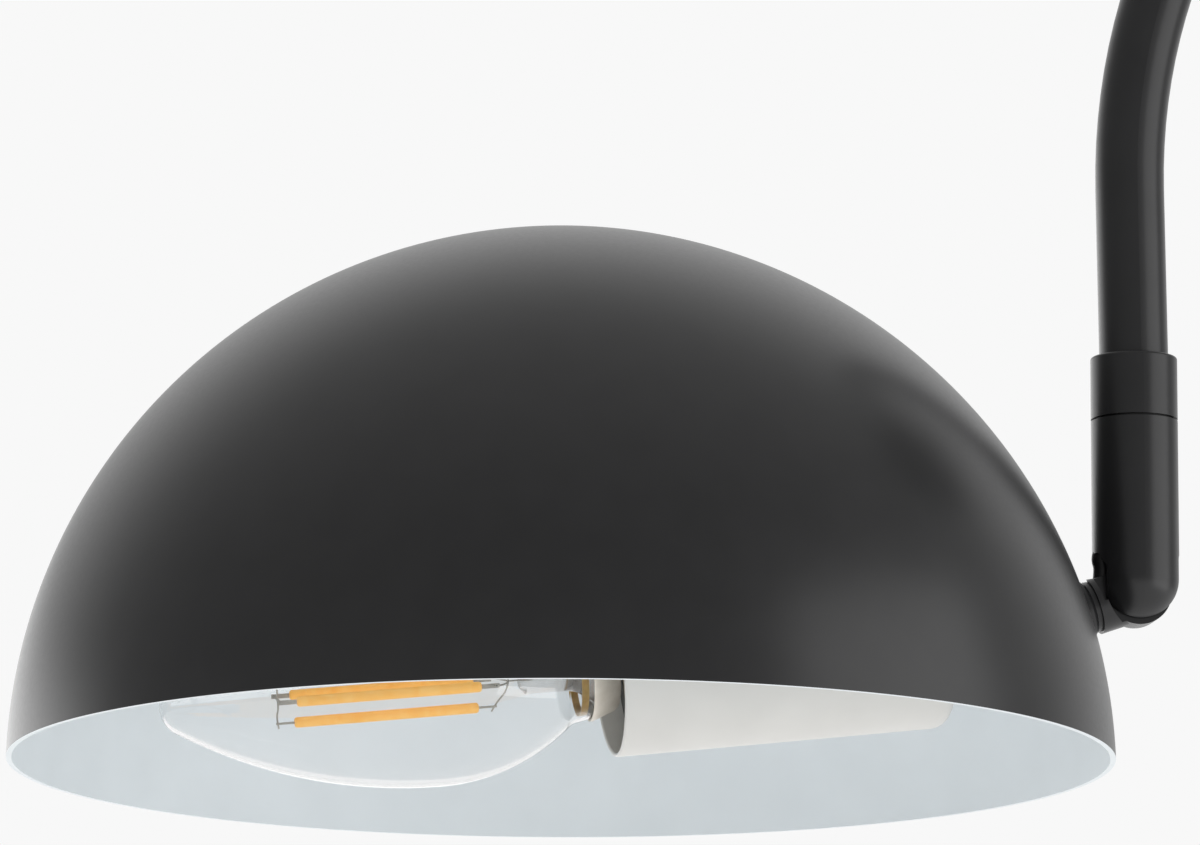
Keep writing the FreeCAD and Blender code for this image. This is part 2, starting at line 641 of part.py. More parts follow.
def make_swivel_inside():
    """Hollow stud, its spring washer and nut, the gap washer and the stop pin."""
    floor = "(Sizes.swivel_gap + Sizes.collar_web)"
    washer = f"({floor} + Sizes.run_gap)"
    nut = f"({washer} + Sizes.spring_t)"
    end = f"({nut} + Sizes.stud_nut_t)"
    stud = "(Sizes.stud_d / 2)"
    well = "(Sizes.collar_pocket_d / 2 - Sizes.flex_clear)"
    turned_part("swivel_stud", SWIVEL, ring_steps(
        "Sizes.stud_bore / 2", stud, "-Sizes.stud_seat", end))
    turned_part("spring_washer", SWIVEL, ring_steps(
        f"{stud} + Sizes.thread_gap", f"{well} - 0.2", washer, nut))
    turned_part("stud_nut", SWIVEL, ring_steps(
        f"{stud} + Sizes.thread_gap", well, nut, end))
    body = body_at("GapWasher", SWIVEL)
    revolve(body, "GapWasherTurned", ring_steps(
        f"{stud} + Sizes.run_gap", "Sizes.collar_d / 2 - 0.7",
        "Sizes.run_gap", "Sizes.swivel_gap"))
    spot = new_sketch(body, "GapWasherSpot", "XY_Plane")
    circle(spot, "Sizes.stop_pin_d", "0", "Sizes.stop_pin_at")
    pocket(body, "GapWasherHole", spot, "Sizes.swivel_gap * 2", both_ways=True)
    keep(body, "gap_washer")
    pin = f"{SWIVEL} * {at('0', 'Sizes.stop_pin_at', '0')}"
    turned_part("stop_pin", pin, [
        ("0", "-Sizes.stop_pin_reach"),
        ("Sizes.stop_pin_d / 2", "-Sizes.stop_pin_reach"),
        ("Sizes.stop_pin_d / 2", floor),
        ("0", floor),
    ])


def make_knuckle():
    """Slotted knuckle with a round lower end, bored for the stud, the wires and the pin."""
    body = body_at("KnuckleBody", PIN)
    outer = "(Sizes.collar_d / 2)"
    top = "Sizes.knuckle_drop"
    nose = "Sizes.knuckle_nose"
    revolve(body, "KnuckleTurned", [
        ("0", f"{nose} - {outer}"),
        (outer, nose, outer),
        (outer, top),
        ("0", top),
    ])
    # Blind hole that the stud is screwed into, and the wire hole under it.
    seat = new_sketch(body, "StudSeat", "XY_Plane", top)
    circle(seat, "Sizes.stud_d + 2 * Sizes.thread_gap")
    pocket(body, "StudHole", seat, "Sizes.stud_seat + Sizes.thread_gap")
    lead = new_sketch(body, "WireLead", "XY_Plane", top)
    circle(lead, "Sizes.stud_bore")
    low = "(Sizes.lead_at - Sizes.lead_d / 2 * sin(Sizes.lead_slope * 1deg))"
    pocket(body, "WireHole", lead, f"{top} - {low}")
    # The eye's slot runs right through; its mouth is wider, with a round top.
    slot_top = "Sizes.eye_slot_top"
    half = "(Sizes.eye_slot_w / 2)"
    eye = new_sketch(body, "EyeSlot", "XZ_Plane")
    draw(eye, [
        (f"-{half}", f"-{outer}"),
        (half, f"-{outer}"),
        (half, f"{slot_top} - 1.2"),
        (f"{half} - 1.2", slot_top, "1.2"),
        (f"1.2 - {half}", slot_top),
        (f"-{half}", f"{slot_top} - 1.2", "1.2"),
    ])
    pocket(body, "EyeSlotCut", eye, "Sizes.collar_d + 1", both_ways=True)
    wide = "(Sizes.stub_slot_w / 2)"
    arch = "(Sizes.stub_d / 2)"
    spring_at = f"({slot_top} - {arch} + sqrt({arch} ^ 2 - {wide} ^ 2))"
    mouth = new_sketch(body, "StubSlot", "XZ_Plane", "Sizes.stub_slot_in")
    draw(mouth, [
        (f"-{wide}", f"-{outer}"),
        (wide, f"-{outer}"),
        (wide, spring_at),
        ("0", slot_top, arch),
        (f"-{wide}", spring_at, arch),
    ])
    pocket(body, "StubSlotCut", mouth, "Sizes.collar_d / 2", flip=True)
    # The tilt pin's hole through the far cheek and into the near one.
    drill = new_sketch(body, "PinDrill", "YZ_Plane", "Sizes.pin_reach")
    circle(drill, "Sizes.pin_d + 2 * Sizes.thread_gap")
    pocket(body, "PinHole", drill, f"Sizes.pin_reach + {outer}")
    sink = new_sketch(body, "PinSink", "YZ_Plane", f"Sizes.pin_sink - {outer}")
    circle(sink, "Sizes.pin_head_d + 0.2")
    pocket(body, "PinHeadHole", sink, "Sizes.pin_sink + 1")
    # The stop pin's groove: as long as the swivel's turn and the pin itself.
    groove = new_sketch(body, "StopGroove", "YZ_Plane")
    middle = "Sizes.stop_pin_at"
    side = "(Sizes.stop_pin_d / 2 + 0.1)"
    draw(groove, box_steps(
        f"{middle} - {side}", f"{top} - Sizes.stop_pin_reach - 0.3",
        f"{middle} + {side}", f"{top} + 0.5"))
    doc.recompute()
    before = body.Shape.Volume
    cut = body.newObject("PartDesign::Groove", "StopGrooveCut")
    cut.Profile = groove
    cut.ReferenceAxis = (groove, ["V_Axis"])
    cut.Midplane = True
    pin_turn = f"(2 * asin({side} / {middle}))"
    cut.setExpression("Angle", f"2 * Sizes.swivel_turn * 1deg + {pin_turn}")
    doc.recompute()
    if body.Shape.Volume > before - 1e-6:
        raise RuntimeError("the stop groove cuts nothing")
    # Slanted wire hole from the bore down into the slot's mouth.
    slant = doc.addObject("Part::Cylinder", "WireSlant")
    slant.setExpression("Radius", "Sizes.lead_d / 2")
    slant.setExpression(
        "Height", "(Sizes.lead_at - Sizes.wire_low) / cos(Sizes.lead_slope * 1deg)")
    start = at("0", "0", "Sizes.lead_at", "180 - Sizes.lead_slope")
    slant.setExpression("Placement", f"{PIN} * {start}")
    knuckle = doc.addObject("Part::Cut", "Knuckle")
    knuckle.Base = body
    knuckle.Tool = slant
    keep(knuckle, "knuckle_body")


def make_tilt_pin():
    """Countersunk screw that the stub tilts on, and the two spring washers beside the eye."""
    outer = "(Sizes.collar_d / 2)"
    shank = "(Sizes.pin_d / 2)"
    across = (
        f"placement(vector(0; -{AXIS_OUT}; -{PIN_DROP});"
        " rotation(vector(0; 1; 0); 90))"
    )
    head = "(Sizes.pin_head_d / 2)"
    seat = f"(Sizes.pin_sink - {outer})"
    face = f"({seat} - Sizes.pin_head_t)"
    tip = "(Sizes.pin_reach - 0.2)"
    turned_part("tilt_pin", across, [
        ("0", f"{seat} - 0.3"),
        ("1.25", f"{seat} - 0.3"),
        ("1.25", face),
        (f"{head} - 0.3", face),
        (head, f"{face} + 0.3"),
        (head, seat),
        (shank, seat),
        (shank, tip),
        ("0", tip),
    ])
    made = []
    for name, sign in (("NearWasher", "1"), ("FarWasher", "-1")):
        low = "Sizes.eye_t / 2 + Sizes.run_gap"
        high = "Sizes.eye_slot_w / 2 - Sizes.run_gap"
        body = body_at(name, across)
        steps = ring_steps(f"{shank} + Sizes.run_gap", f"{shank} + 2.4",
                           f"{sign} * ({low})", f"{sign} * ({high})")
        revolve(body, f"{name}Turned", steps)
        made.append(body)
    pair = doc.addObject("Part::Compound", "TiltWashers")
    pair.Links = made
    keep(pair, "tilt_washers")


def make_stub():
    """Stub turned from bar, with a milled eye, a threaded spigot and a bore for the wires."""
    body = body_at("TiltStub", STUB)
    stub = "(Sizes.stub_d / 2)"
    spigot = "(Sizes.stud_d / 2)"
    seat = "Sizes.stub_l"
    end = "(Sizes.stub_l + Sizes.spigot_l)"
    revolve(body, "StubTurned", [
        ("0", "0"),
        (stub, "0"),
        (stub, seat),
        (spigot, seat),
        (spigot, f"{end} - 0.5"),
        (f"{spigot} - 0.5", end),
        ("0", end),
    ])
    # Round eye about the pin.
    eye = new_sketch(body, "StubEye", "YZ_Plane")
    circle(eye, "Sizes.eye_d")
    pad(body, "EyeDisc", eye, "Sizes.eye_t", both_ways=True)
    # Both sides are milled down to the eye's thickness, up to a round shoulder.
    shoulder = "(Sizes.shoulder_d / 2)"
    wide = f"({shoulder} + 1)"
    trim = "(Sizes.stub_slot_in + 1.3)"
    for name, lift, flip in (("NearCheek", "Sizes.eye_t / 2", True),
                             ("FarCheek", "-Sizes.eye_t / 2", False)):
        milled = new_sketch(body, f"{name}Face", "YZ_Plane", lift)
        draw(milled, [
            (f"-{shoulder}", "0"),
            ("0", shoulder, f"-{shoulder}"),
            ("0", trim),
            (wide, trim),
            (wide, f"-{wide}"),
            (f"-{shoulder}", f"-{wide}"),
        ])
        pocket(body, f"{name}Cut", milled, stub, flip=flip)
    # Pin hole, wire bore and the slot that lets the wires in from above.
    pin = new_sketch(body, "StubPin", "YZ_Plane")
    circle(pin, "Sizes.pin_d + 2 * Sizes.run_gap")
    pocket(body, "StubPinHole", pin, "Sizes.collar_d", both_ways=True)
    bore = new_sketch(body, "StubBore", "XY_Plane", end)
    circle(bore, "Sizes.stud_bore")
    pocket(body, "StubBoreHole", bore, f"{end} - Sizes.stub_bore_at")
    entry = new_sketch(body, "WireEntry", "XZ_Plane", "-Sizes.stub_d")
    half = "(Sizes.stud_bore / 2 - 0.1)"
    first = f"(Sizes.entry_at + {half})"
    last = f"({seat} + 0.6 - {half})"
    draw(entry, [
        (f"-{half}", first),
        ("0", f"{first} - {half}", half),
        (half, first, half),
        (half, last),
        ("0", f"{last} + {half}", half),
        (f"-{half}", last, half),
    ])
    pocket(body, "WireEntryCut", entry, "Sizes.stub_d", flip=True)
    keep(body, "tilt_stub")


def on_sphere(radius, away):
    """Height of a sphere about the shade's centre, at a distance from the stub's axis."""
    return f"({DOME_AT} - sqrt({radius} ^ 2 - ({away}) ^ 2))"


def make_shade_clamp():
    """What clamps the shade to the stub: cone seat, inner washer and coupling nut."""
    hole = "(Sizes.stud_d / 2 + Sizes.thread_gap)"
    neck = "(Sizes.seat_neck_d / 2)"
    waist = "(Sizes.stub_l + Sizes.seat_neck_l)"
    seat = "(Sizes.seat_d / 2)"
    inside = f"({DOME_R} - Sizes.dome_t)"
    washer = "(Sizes.inner_washer_d / 2)"
    low = f"({on_sphere(inside, washer)} + Sizes.inner_washer_t)"
    turned_part("cone_seat", STUB, [
        (hole, "Sizes.stub_l"),
        (neck, "Sizes.stub_l"),
        (neck, waist),
        (seat, f"{waist} + {seat} - {neck}"),
        (seat, on_sphere(DOME_R, seat)),
        (hole, on_sphere(DOME_R, hole), f"-{DOME_R}"),
    ])
    turned_part("inner_washer", STUB, [
        (hole, low),
        (hole, on_sphere(inside, hole)),
        (washer, on_sphere(inside, washer), inside),
        (washer, low),
    ])
    hex_nut("coupling_nut", STUB, "Sizes.coupler_af", "Sizes.coupler_l", hole, low)
    return low


def make_shade():
    """Spun half-sphere shade with one hole for the stub's spigot."""
    body = body_at("ShadeShell", DOME)
    inside = f"({DOME_R} - Sizes.dome_t)"
    rim = "Sizes.rim_up"
    revolve(body, "ShadeTurned", [
        ("0", inside, inside),
        ("0", DOME_R),
        (f"sqrt({DOME_R} ^ 2 - {rim} ^ 2)", rim, f"-{DOME_R}"),
        (f"sqrt({inside} ^ 2 - {rim} ^ 2)", rim),
    ])
    drill = doc.addObject("Part::Cylinder", "ShadeDrill")
    drill.setExpression("Radius", "Sizes.stud_d / 2 + Sizes.thread_gap")
    drill.setExpression("Height", "Sizes.dome_t * 4")
    drill.setExpression("Placement", f"{STUB} * {at('0', '0', 'Sizes.dome_gap - Sizes.dome_t')}")
    shade = doc.addObject("Part::Cut", "Shade")
    shade.Base = body
    shade.Tool = drill
    keep(shade, "shade_dome")


def make_bent_nipple(nut_low):
    """Bent threaded nipple from the coupling nut to the lampholder."""
    start = f"({nut_low} + Sizes.coupler_l / 2)"
    spigot_end = "(Sizes.stub_l + Sizes.spigot_l)"
    tangent = f"(Sizes.elbow_bend * tan({KINK} / 2))"
    first = f"(Sizes.elbow_at - {start})"
    last = f"({tangent} + Sizes.elbow_to_cup + Sizes.cup_t + 5 - {tangent})"
    corner_y = f"({tangent} * sin({KINK}))"
    corner_z = f"({first} + {tangent} * cos({KINK}))"
    tube_along("bent_nipple", f"{STUB} * {at('0', '0', start)}", [
        ("0", "0"),
        ("0", f"{first} - {tangent}"),
        (corner_y, corner_z, "-Sizes.elbow_bend"),
        (f"{last} * sin({KINK})", f"{first} + {last} * cos({KINK})"),
    ], "Sizes.stud_d", "Sizes.stud_bore")
    if value(spigot_end) > value(start):
        raise RuntimeError("the spigot meets the bent nipple inside the coupling nut")


def make_holder_flex():
    """Flex from the stub's wire bore through the bent nipple to the lampholder's insert."""
    start = f"({KNUCKLE_FLEX_END} + Sizes.flex_clear)"
    tangent = f"(Sizes.elbow_bend * tan({KINK} / 2))"
    first = f"(Sizes.elbow_at - {start})"
    last = "(Sizes.elbow_to_cup + Sizes.cup_l - Sizes.holder_split + 2)"
    tube_along("holder_flex", f"{STUB} * {at('0', '0', start)}", [
        ("0", "0"),
        ("0", f"{first} - {tangent}"),
        (f"{tangent} * sin({KINK})", f"{first} + {tangent} * cos({KINK})",
         "-Sizes.elbow_bend"),
        (f"{last} * sin({KINK})", f"{first} + {last} * cos({KINK})"),
    ], "Sizes.flex_d")


def make_knuckle_flex():
    """Flex inside the knuckle: down the bore, out at the slot's mouth and into the stub."""
    top = "(Sizes.knuckle_drop - Sizes.stud_seat)"
    out = "Sizes.wire_out"
    fall = "(Sizes.lead_at - Sizes.wire_low)"
    slant = f"(atan({out} / {fall}))"
    bend = f"(Sizes.wire_bend * tan({slant} / 2))"
    turn = f"(90deg - {TILT})"
    last_bend = f"(Sizes.wire_turn * tan({turn} / 2))"
    first = f"({top} - Sizes.lead_at)"
    second = f"({top} - Sizes.wire_low)"
    third = f"({top} + {out} * tan({TILT}))"
    run = f"({KNUCKLE_FLEX_END} - {out} / cos({TILT}))"
    frame = f"{PIN} * {at('0', '0', top, '180')}"
    # This frame's Z is down and its +Y is out of the wall.
    tube_along("knuckle_flex", frame, [
        ("0", "0"),
        ("0", f"{first} - {bend}"),
        (f"{bend} * sin({slant})", f"{first} + {bend} * cos({slant})", "-Sizes.wire_bend"),
        (f"{out} - {bend} * sin({slant})", f"{second} - {bend} * cos({slant})"),
        (out, f"{second} + {bend}", "Sizes.wire_bend"),
        (out, f"{third} - {last_bend}"),
        (f"{out} + {last_bend} * cos({TILT})", f"{third} + {last_bend} * sin({TILT})",
         "-Sizes.wire_turn"),
        (f"{out} + {run} * cos({TILT})", f"{third} + {run} * sin({TILT})"),
    ], "Sizes.flex_d")


def make_cover():
    """Drawn cover over the lampholder, and the nut that holds it on the bent nipple."""
    mouth = "(Sizes.cup_d / 2)"
    back = "(Sizes.cup_back_d / 2)"
    edge = "Sizes.cup_edge"
    wall = "Sizes.cup_t"
    hole = "(Sizes.stud_d / 2 + Sizes.thread_gap)"
    low = "(-Sizes.cup_l)"
    turned_part("holder_cover", CUP, [
        (hole, f"{low} + {wall}"),
        (hole, low),
        (f"{back} - {edge}", low),
        (back, f"{low} + {edge}", edge),
        (mouth, "0"),
        (f"{mouth} - {wall}", "0"),
        (f"{back} - {wall}", f"{low} + {edge}"),
        (f"{back} - {edge}", f"{low} + {wall}", f"-({edge} - {wall})"),
    ])
    hex_nut("cover_nut", CUP, "Sizes.coupler_af", "Sizes.cup_nut_t", hole,
            f"{low} - Sizes.cup_nut_t")


def make_lampholder():
    """The lampholder's screw-on cap, body, insulating insert, thread shell and contact."""
    outer = "(Sizes.holder_d / 2)"
    wall = "Sizes.holder_t"
    split = "(-Sizes.holder_split)"
    base = "(Sizes.cup_t - Sizes.cup_l)"
    hole = "(Sizes.stud_d / 2 + Sizes.thread_gap)"
    boss = f"({hole} + 2.2)"
    turned_part("holder_cap", CUP, [
        (hole, base),
        (f"{boss} + 2", base),
        (outer, f"{base} + 6", f"{outer} * 0.9"),
        (outer, split),
        (f"{outer} - {wall}", split),
        (f"{outer} - {wall}", f"{base} + 6 + {wall}"),
        (boss, f"{base} + {wall} + 1"),
        (boss, f"{base} + 5"),
        (hole, f"{base} + 5"),
    ])
    front = "(-Sizes.holder_in)"
    mouth = "(Sizes.holder_mouth_d / 2)"
    tip = "(Sizes.cap_out - Sizes.contact_l)"
    insert = "(Sizes.insert_d / 2)"
    contact = f"({tip} - 3)"
    back = f"({contact} - Sizes.insert_t)"
    flange = "3"
    ledge = f"({insert} + Sizes.run_gap)"
    turned_part("holder_body", CUP, [
        (f"{outer} - {wall}", split),
        (outer, split),
        (outer, f"{front} - 1"),
        (f"{outer} - 1", front, "1"),
        (mouth, front),
        (mouth, f"{front} - {wall}"),
        (ledge, f"{front} - {wall}"),
        (ledge, f"{back} + {flange}"),
        (f"{outer} - {wall}", f"{back} + {flange}"),
    ])
    shell = f"({SOCKET_R} + Sizes.shell_t)"
    well = f"({tip} + 3)"
    turned_part("holder_insert", CUP, [
        ("0", back),
        (f"{outer} - {wall} - Sizes.run_gap", back),
        (f"{outer} - {wall} - Sizes.run_gap", f"{back} + {flange}"),
        (insert, f"{back} + {flange}"),
        (insert, well),
        (shell, well),
        (shell, f"{tip} - 1"),
        (f"{SOCKET_R} - 1.5", f"{tip} - 1"),
        (f"{SOCKET_R} - 1.5", contact),
        ("0", contact),
    ])
    turned_part("thread_shell", CUP, [
        (SOCKET_R, f"{tip} - 1"),
        (shell, f"{tip} - 1"),
        (shell, f"{front} - {wall} - 0.4"),
        (f"{shell} + 0.8", f"{front} - {wall} - 0.2"),
        (f"{SOCKET_R} + 0.7", f"{front} - {wall}"),
        (SOCKET_R, f"{front} - {wall} - 0.6"),
    ])
    leaf = body_at("CentreContact", CUP)
    side = new_sketch(leaf, "LeafSide", "XZ_Plane")
    reach = f"({SOCKET_R} - 2)"
    draw(side, [
        (f"-{reach}", contact),
        (f"1 - {reach}", contact),
        (f"1 - {reach}", f"{contact} + 0.5"),
        ("2", f"{tip} - 0.6"),
        ("2", f"{tip} - 0.1"),
        ("-1", f"{tip} - 0.1"),
        (f"-{reach}", f"{contact} + 0.6"),
    ])
    pad(leaf, "LeafStrip", side, "4", both_ways=True)
    keep(leaf, "centre_contact")


def glass_steps(wall):
    """Half profile of the glass, taken in by a wall thickness."""
    centre = f"(Sizes.glass_d / 2 - Sizes.shoulder_bend)"
    shoulder = f"(Sizes.shoulder_bend - {wall})"
    taper = f"(Sizes.taper_bend - {wall})"
    widest = "Sizes.glass_widest"
    neck = f"(Sizes.glass_neck_d / 2 - {wall})"
    neck_top = f"({widest} - sqrt({shoulder} ^ 2 - ({neck} - {centre}) ^ 2))"
    tip_r = f"(Sizes.glass_d / 2 - Sizes.taper_bend + {taper} * cos({TIP}))"
    tip_z = f"({widest} + {taper} * sin({TIP}))"
    round_r = f"({tip_r} / cos({TIP}))"
    top = f"({tip_z} + {round_r} * (1 - sin({TIP})))"
    return [
        (neck, neck_top),
        (f"Sizes.glass_d / 2 - {wall}", widest, shoulder),
        (tip_r, tip_z, taper),
        ("0", top, round_r),
    ]


def make_bulb_glass():
    """Blown candle-shaped glass in the cap's skirt, and the ring of cement in its neck."""
    outer = glass_steps("0")
    inner = glass_steps("Sizes.glass_t")
    seat = "(Sizes.cap_skirt_d / 2 - Sizes.cap_t - Sizes.thread_gap)"
    bore = f"({seat} - Sizes.glass_t)"
    backwards = [
        ("0", inner[3][1]),
        (inner[2][0], inner[2][1], f"-{inner[3][2]}"),
        (inner[1][0], inner[1][1], f"-{inner[2][2]}"),
        (inner[0][0], inner[0][1], f"-{inner[1][2]}"),
    ]
    slope = "(Sizes.cap_skirt_d - Sizes.cap_d) / 2 / Sizes.skirt_l"
    taper = f"({seat} - {slope} * Sizes.glass_in_cap)"
    turned_part("bulb_glass", BULB, [
        (f"{taper} - Sizes.glass_t", "-Sizes.glass_in_cap"),
        (taper, "-Sizes.glass_in_cap"),
        (seat, "Sizes.neck_step / 6"),
        (outer[0][0], "Sizes.neck_step"),
    ] + outer + backwards + [(bore, "Sizes.neck_step * 1.5")])
    ring = f"({bore} - Sizes.thread_gap)"
    turned_part("cap_cement", BULB, [
        (f"{ring} - Sizes.cement_t", "Sizes.neck_step * 1.5"),
        (ring, "Sizes.neck_step * 1.5"),
        (bore, "Sizes.cement_out"),
        (f"{ring} - Sizes.cement_t / 2", "Sizes.cement_out"),
    ])


def make_bulb_cap():
    """The bulb's nickel-plated screw cap, its insulator and its end contact."""
    skirt = "(Sizes.cap_skirt_d / 2)"
    thread = "(Sizes.cap_d / 2)"
    wall = "Sizes.cap_t"
    skirt_low = "(-Sizes.skirt_l)"
    low = f"({skirt_low} - 1 - Sizes.thread_l)"
    turned_part("bulb_cap", BULB, [
        (skirt, "0"),
        (f"{skirt} - {wall}", "0"),
        (f"{thread} - {wall}", f"{skirt_low} - {wall}"),
        (f"{thread} - {wall}", low),
        (thread, low),
        (thread, skirt_low),
    ])
    end = "(-Sizes.contact_l)"
    inside = f"({thread} - {wall} - Sizes.thread_gap)"
    turned_part("cap_insulator", BULB, [
        ("2", f"{low} + 3"),
        ("2", f"{end} + 1.3"),
        ("3.6", f"{end} + 1.3"),
        (inside, f"{low} - 0.2"),
        (inside, f"{low} + 3"),
    ])
    turned_part("end_contact", BULB, [
        ("0", end),
        ("1.8", end),
        ("3.2", f"{end} + 1.2"),
        ("0", f"{end} + 1.2"),
    ])


def make_bulb_inside():
    """The glass stem, the four filament sticks and the wires that carry them."""
    base = "(-Sizes.glass_in_cap)"
    slope = "(Sizes.cap_skirt_d - Sizes.cap_d) / 2 / Sizes.skirt_l"
    flare = ("(Sizes.cap_skirt_d / 2 - Sizes.cap_t - 2 * Sizes.thread_gap"
             f" - Sizes.glass_t - {slope} * Sizes.glass_in_cap)")
    stem = "(Sizes.stem_d / 2)"
    top = f"({base} + Sizes.stem_l)"
    turned_part("bulb_stem", BULB, [
        ("0", base),
        (flare, base),
        (stem, f"{base} + Sizes.stem_l * 0.4", f"-{flare}"),
        (stem, f"{top} - {stem} * 0.4"),
        (f"{stem} * 0.6", top),
        ("0", top),
    ])
    ring = "(Sizes.filament_ring_d / 2)"
    start = "Sizes.filament_at"
    finish = f"({start} + Sizes.filament_l)"
    sticks = []
    tabs = []
    for i in range(4):
        across = f"placement(vector(0; 0; 0); rotation(vector(0; 0; 1); {90 * i}))"
        stick = doc.addObject("Part::Cylinder", f"Stick{i}")
        stick.setExpression("Radius", "Sizes.filament_d / 2")
        stick.setExpression("Height", "Sizes.filament_l")
        stick.setExpression("Placement", f"{BULB} * {across} * {at('0', ring, start)}")
        sticks.append(stick)
        for end, low in (("Far", finish), ("Near", f"{start} - Sizes.tab_l")):
            tab = doc.addObject("Part::Box", f"{end}Tab{i}")
            tab.setExpression("Length", "Sizes.tab_w")
            tab.setExpression("Width", "Sizes.tab_t")
            tab.setExpression("Height", "Sizes.tab_l")
            corner = at("-Sizes.tab_w / 2", f"{ring} - Sizes.tab_t / 2", low)
            tab.setExpression("Placement", f"{BULB} * {across} * {corner}")
            tabs.append(tab)
    group = doc.addObject("Part::Compound", "Filaments")
    group.Links = sticks
    keep(group, "filaments")
    wires = make_filament_wires(top, ring, start, finish)
    joined = doc.addObject("Part::MultiFuse", "FilamentWires")
    joined.Shapes = [wires] + tabs
    keep(joined, "filament_wires")


def make_filament_wires(top, ring, start, finish):
    """Post on the stem, a cross of wires at the far tabs and a bowed cross at the near ones."""
    star = body_at("WireStar", BULB)
    wire = "Sizes.wire_d"
    half = "(Sizes.wire_d / 2)"
    reach = f"({ring} + Sizes.wire_past)"
    far = f"({finish} + Sizes.wire_at)"
    near = f"({start} - Sizes.wire_at)"
    post = new_sketch(star, "PostCircle", "XY_Plane", top)
    circle(post, "Sizes.post_d")
    pad(star, "PostRod", post, f"{far} + {half} - {top}")
    bow = f"(({reach} ^ 2 + Sizes.wire_bow ^ 2) / 2 / Sizes.wire_bow)"
    inner = f"({bow} - {wire})"
    inner_r = f"({inner} * {reach} / {bow})"
    inner_z = f"({near} + {wire} * ({bow} - Sizes.wire_bow) / {bow})"
    for name, role in (("Upright", "YZ_Plane"), ("Level", "XZ_Plane")):
        cross = new_sketch(star, f"{name}FarWire", role)
        draw(cross, box_steps(f"-{reach}", f"{far} - {half}", reach, f"{far} + {half}"))
        pad(star, f"{name}Far", cross, wire, both_ways=True)
        bowed = new_sketch(star, f"{name}NearWire", role)
        draw(bowed, [
            (f"-{reach}", near),
            (reach, near, bow),
            (inner_r, inner_z),
            (f"-{inner_r}", inner_z, f"-{inner}"),
        ])
        pad(star, f"{name}Near", bowed, wire, both_ways=True)
    return star


def check_and_write():
    """Stops at any object that failed, then writes each sub-part to its own file."""
    doc.recompute()
    for item in doc.Objects:
        if {"Invalid", "Error"} & set(item.State):
            raise RuntimeError(f"{item.Label} failed: {item.State}")
    for item in parts:
        if item.Shape.isNull() or not item.Shape.isValid():
            raise RuntimeError(f"{item.Label} has no valid shape")
    for body, path, outer, bore, bends in tubes:
        swept = math.pi / 4 * (outer ** 2 - bore ** 2) * path.Shape.Length
        if abs(body.Shape.Volume / swept - 1) > 0.01:
            raise RuntimeError(f"{body.Label} is not its section times its length")
        radii = ", ".join(f"{bend:.1f}" for bend in bends)
        print(f"{body.Label}: {path.Shape.Length:.1f} mm long, bends of {radii} mm")
    os.makedirs("parts", exist_ok=True)
    for item in parts:
        item.Shape.exportStep(f"parts/{item.Label}.step")
        print(f"{item.Label}: {len(item.Shape.Solids)} solid, {item.Shape.Volume:.1f} mm3")


make_strap()
make_wall_plate()
make_side_screws()
make_terminal_block()
make_terminal_tubes()
make_wall_fixings()
make_arm()
make_arm_flex()
make_collar()
make_swivel_inside()
make_knuckle()
make_tilt_pin()
make_stub()
nut_low = make_shade_clamp()
make_shade()
make_bent_nipple(nut_low)
make_holder_flex()
make_knuckle_flex()
make_cover()
make_lampholder()
make_bulb_glass()
make_bulb_cap()
make_bulb_inside()
check_and_write()
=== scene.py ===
import json
import math

import bmesh
import bpy
from mathutils import Matrix, Quaternion, Vector


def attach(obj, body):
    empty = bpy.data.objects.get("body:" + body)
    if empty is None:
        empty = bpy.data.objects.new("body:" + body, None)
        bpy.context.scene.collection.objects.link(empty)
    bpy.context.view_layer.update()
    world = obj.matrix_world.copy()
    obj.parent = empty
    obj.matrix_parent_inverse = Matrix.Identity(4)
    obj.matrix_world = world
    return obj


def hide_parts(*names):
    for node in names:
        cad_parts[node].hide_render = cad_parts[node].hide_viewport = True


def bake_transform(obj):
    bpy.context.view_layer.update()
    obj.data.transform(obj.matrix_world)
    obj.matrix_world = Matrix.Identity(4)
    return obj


# A wall lamp: round wall plate, bent tube, a knuckle that swivels and tilts, and a
# half-sphere shade with a small filament bulb. Lengths below are millimetres times mm.
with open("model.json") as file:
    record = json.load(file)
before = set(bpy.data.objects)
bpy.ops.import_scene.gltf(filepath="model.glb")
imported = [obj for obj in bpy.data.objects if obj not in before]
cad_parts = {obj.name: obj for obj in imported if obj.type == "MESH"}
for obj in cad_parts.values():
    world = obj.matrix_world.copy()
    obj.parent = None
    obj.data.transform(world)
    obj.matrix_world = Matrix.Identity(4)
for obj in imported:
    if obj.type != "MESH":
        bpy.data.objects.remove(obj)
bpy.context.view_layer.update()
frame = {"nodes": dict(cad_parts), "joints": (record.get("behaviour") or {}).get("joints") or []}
nodes = frame["nodes"]
joints = {joint["name"]: joint for joint in frame["joints"]}
mm = 0.001


# --- Wall strap and its fixings -------------------------------------------------------
# The strap, the stiffening disc, the nuts and the washers are pressed or turned mild steel
# with a thin bright zinc plating. They keep their solids and get the plating's finish.

def linear(hex_colour):
    """An sRGB hex colour as the linear values that a shader takes."""
    channels = [int(hex_colour[i:i + 2], 16) / 255 for i in (1, 3, 5)]
    return tuple(c / 12.92 if c <= 0.04045 else ((c + 0.055) / 1.055) ** 2.4
                 for c in channels) + (1,)


def add(tree, kind, settings=None, links=None):
    """Adds a node to a tree, with its settings, and links sockets to its inputs."""
    node = tree.nodes.new(kind)
    for name, setting in (settings or {}).items():
        if name in node.inputs:
            node.inputs[name].default_value = setting
        else:
            setattr(node, name, setting)
    for name, socket in (links or {}).items():
        tree.links.new(socket, node.inputs[name])
    return node


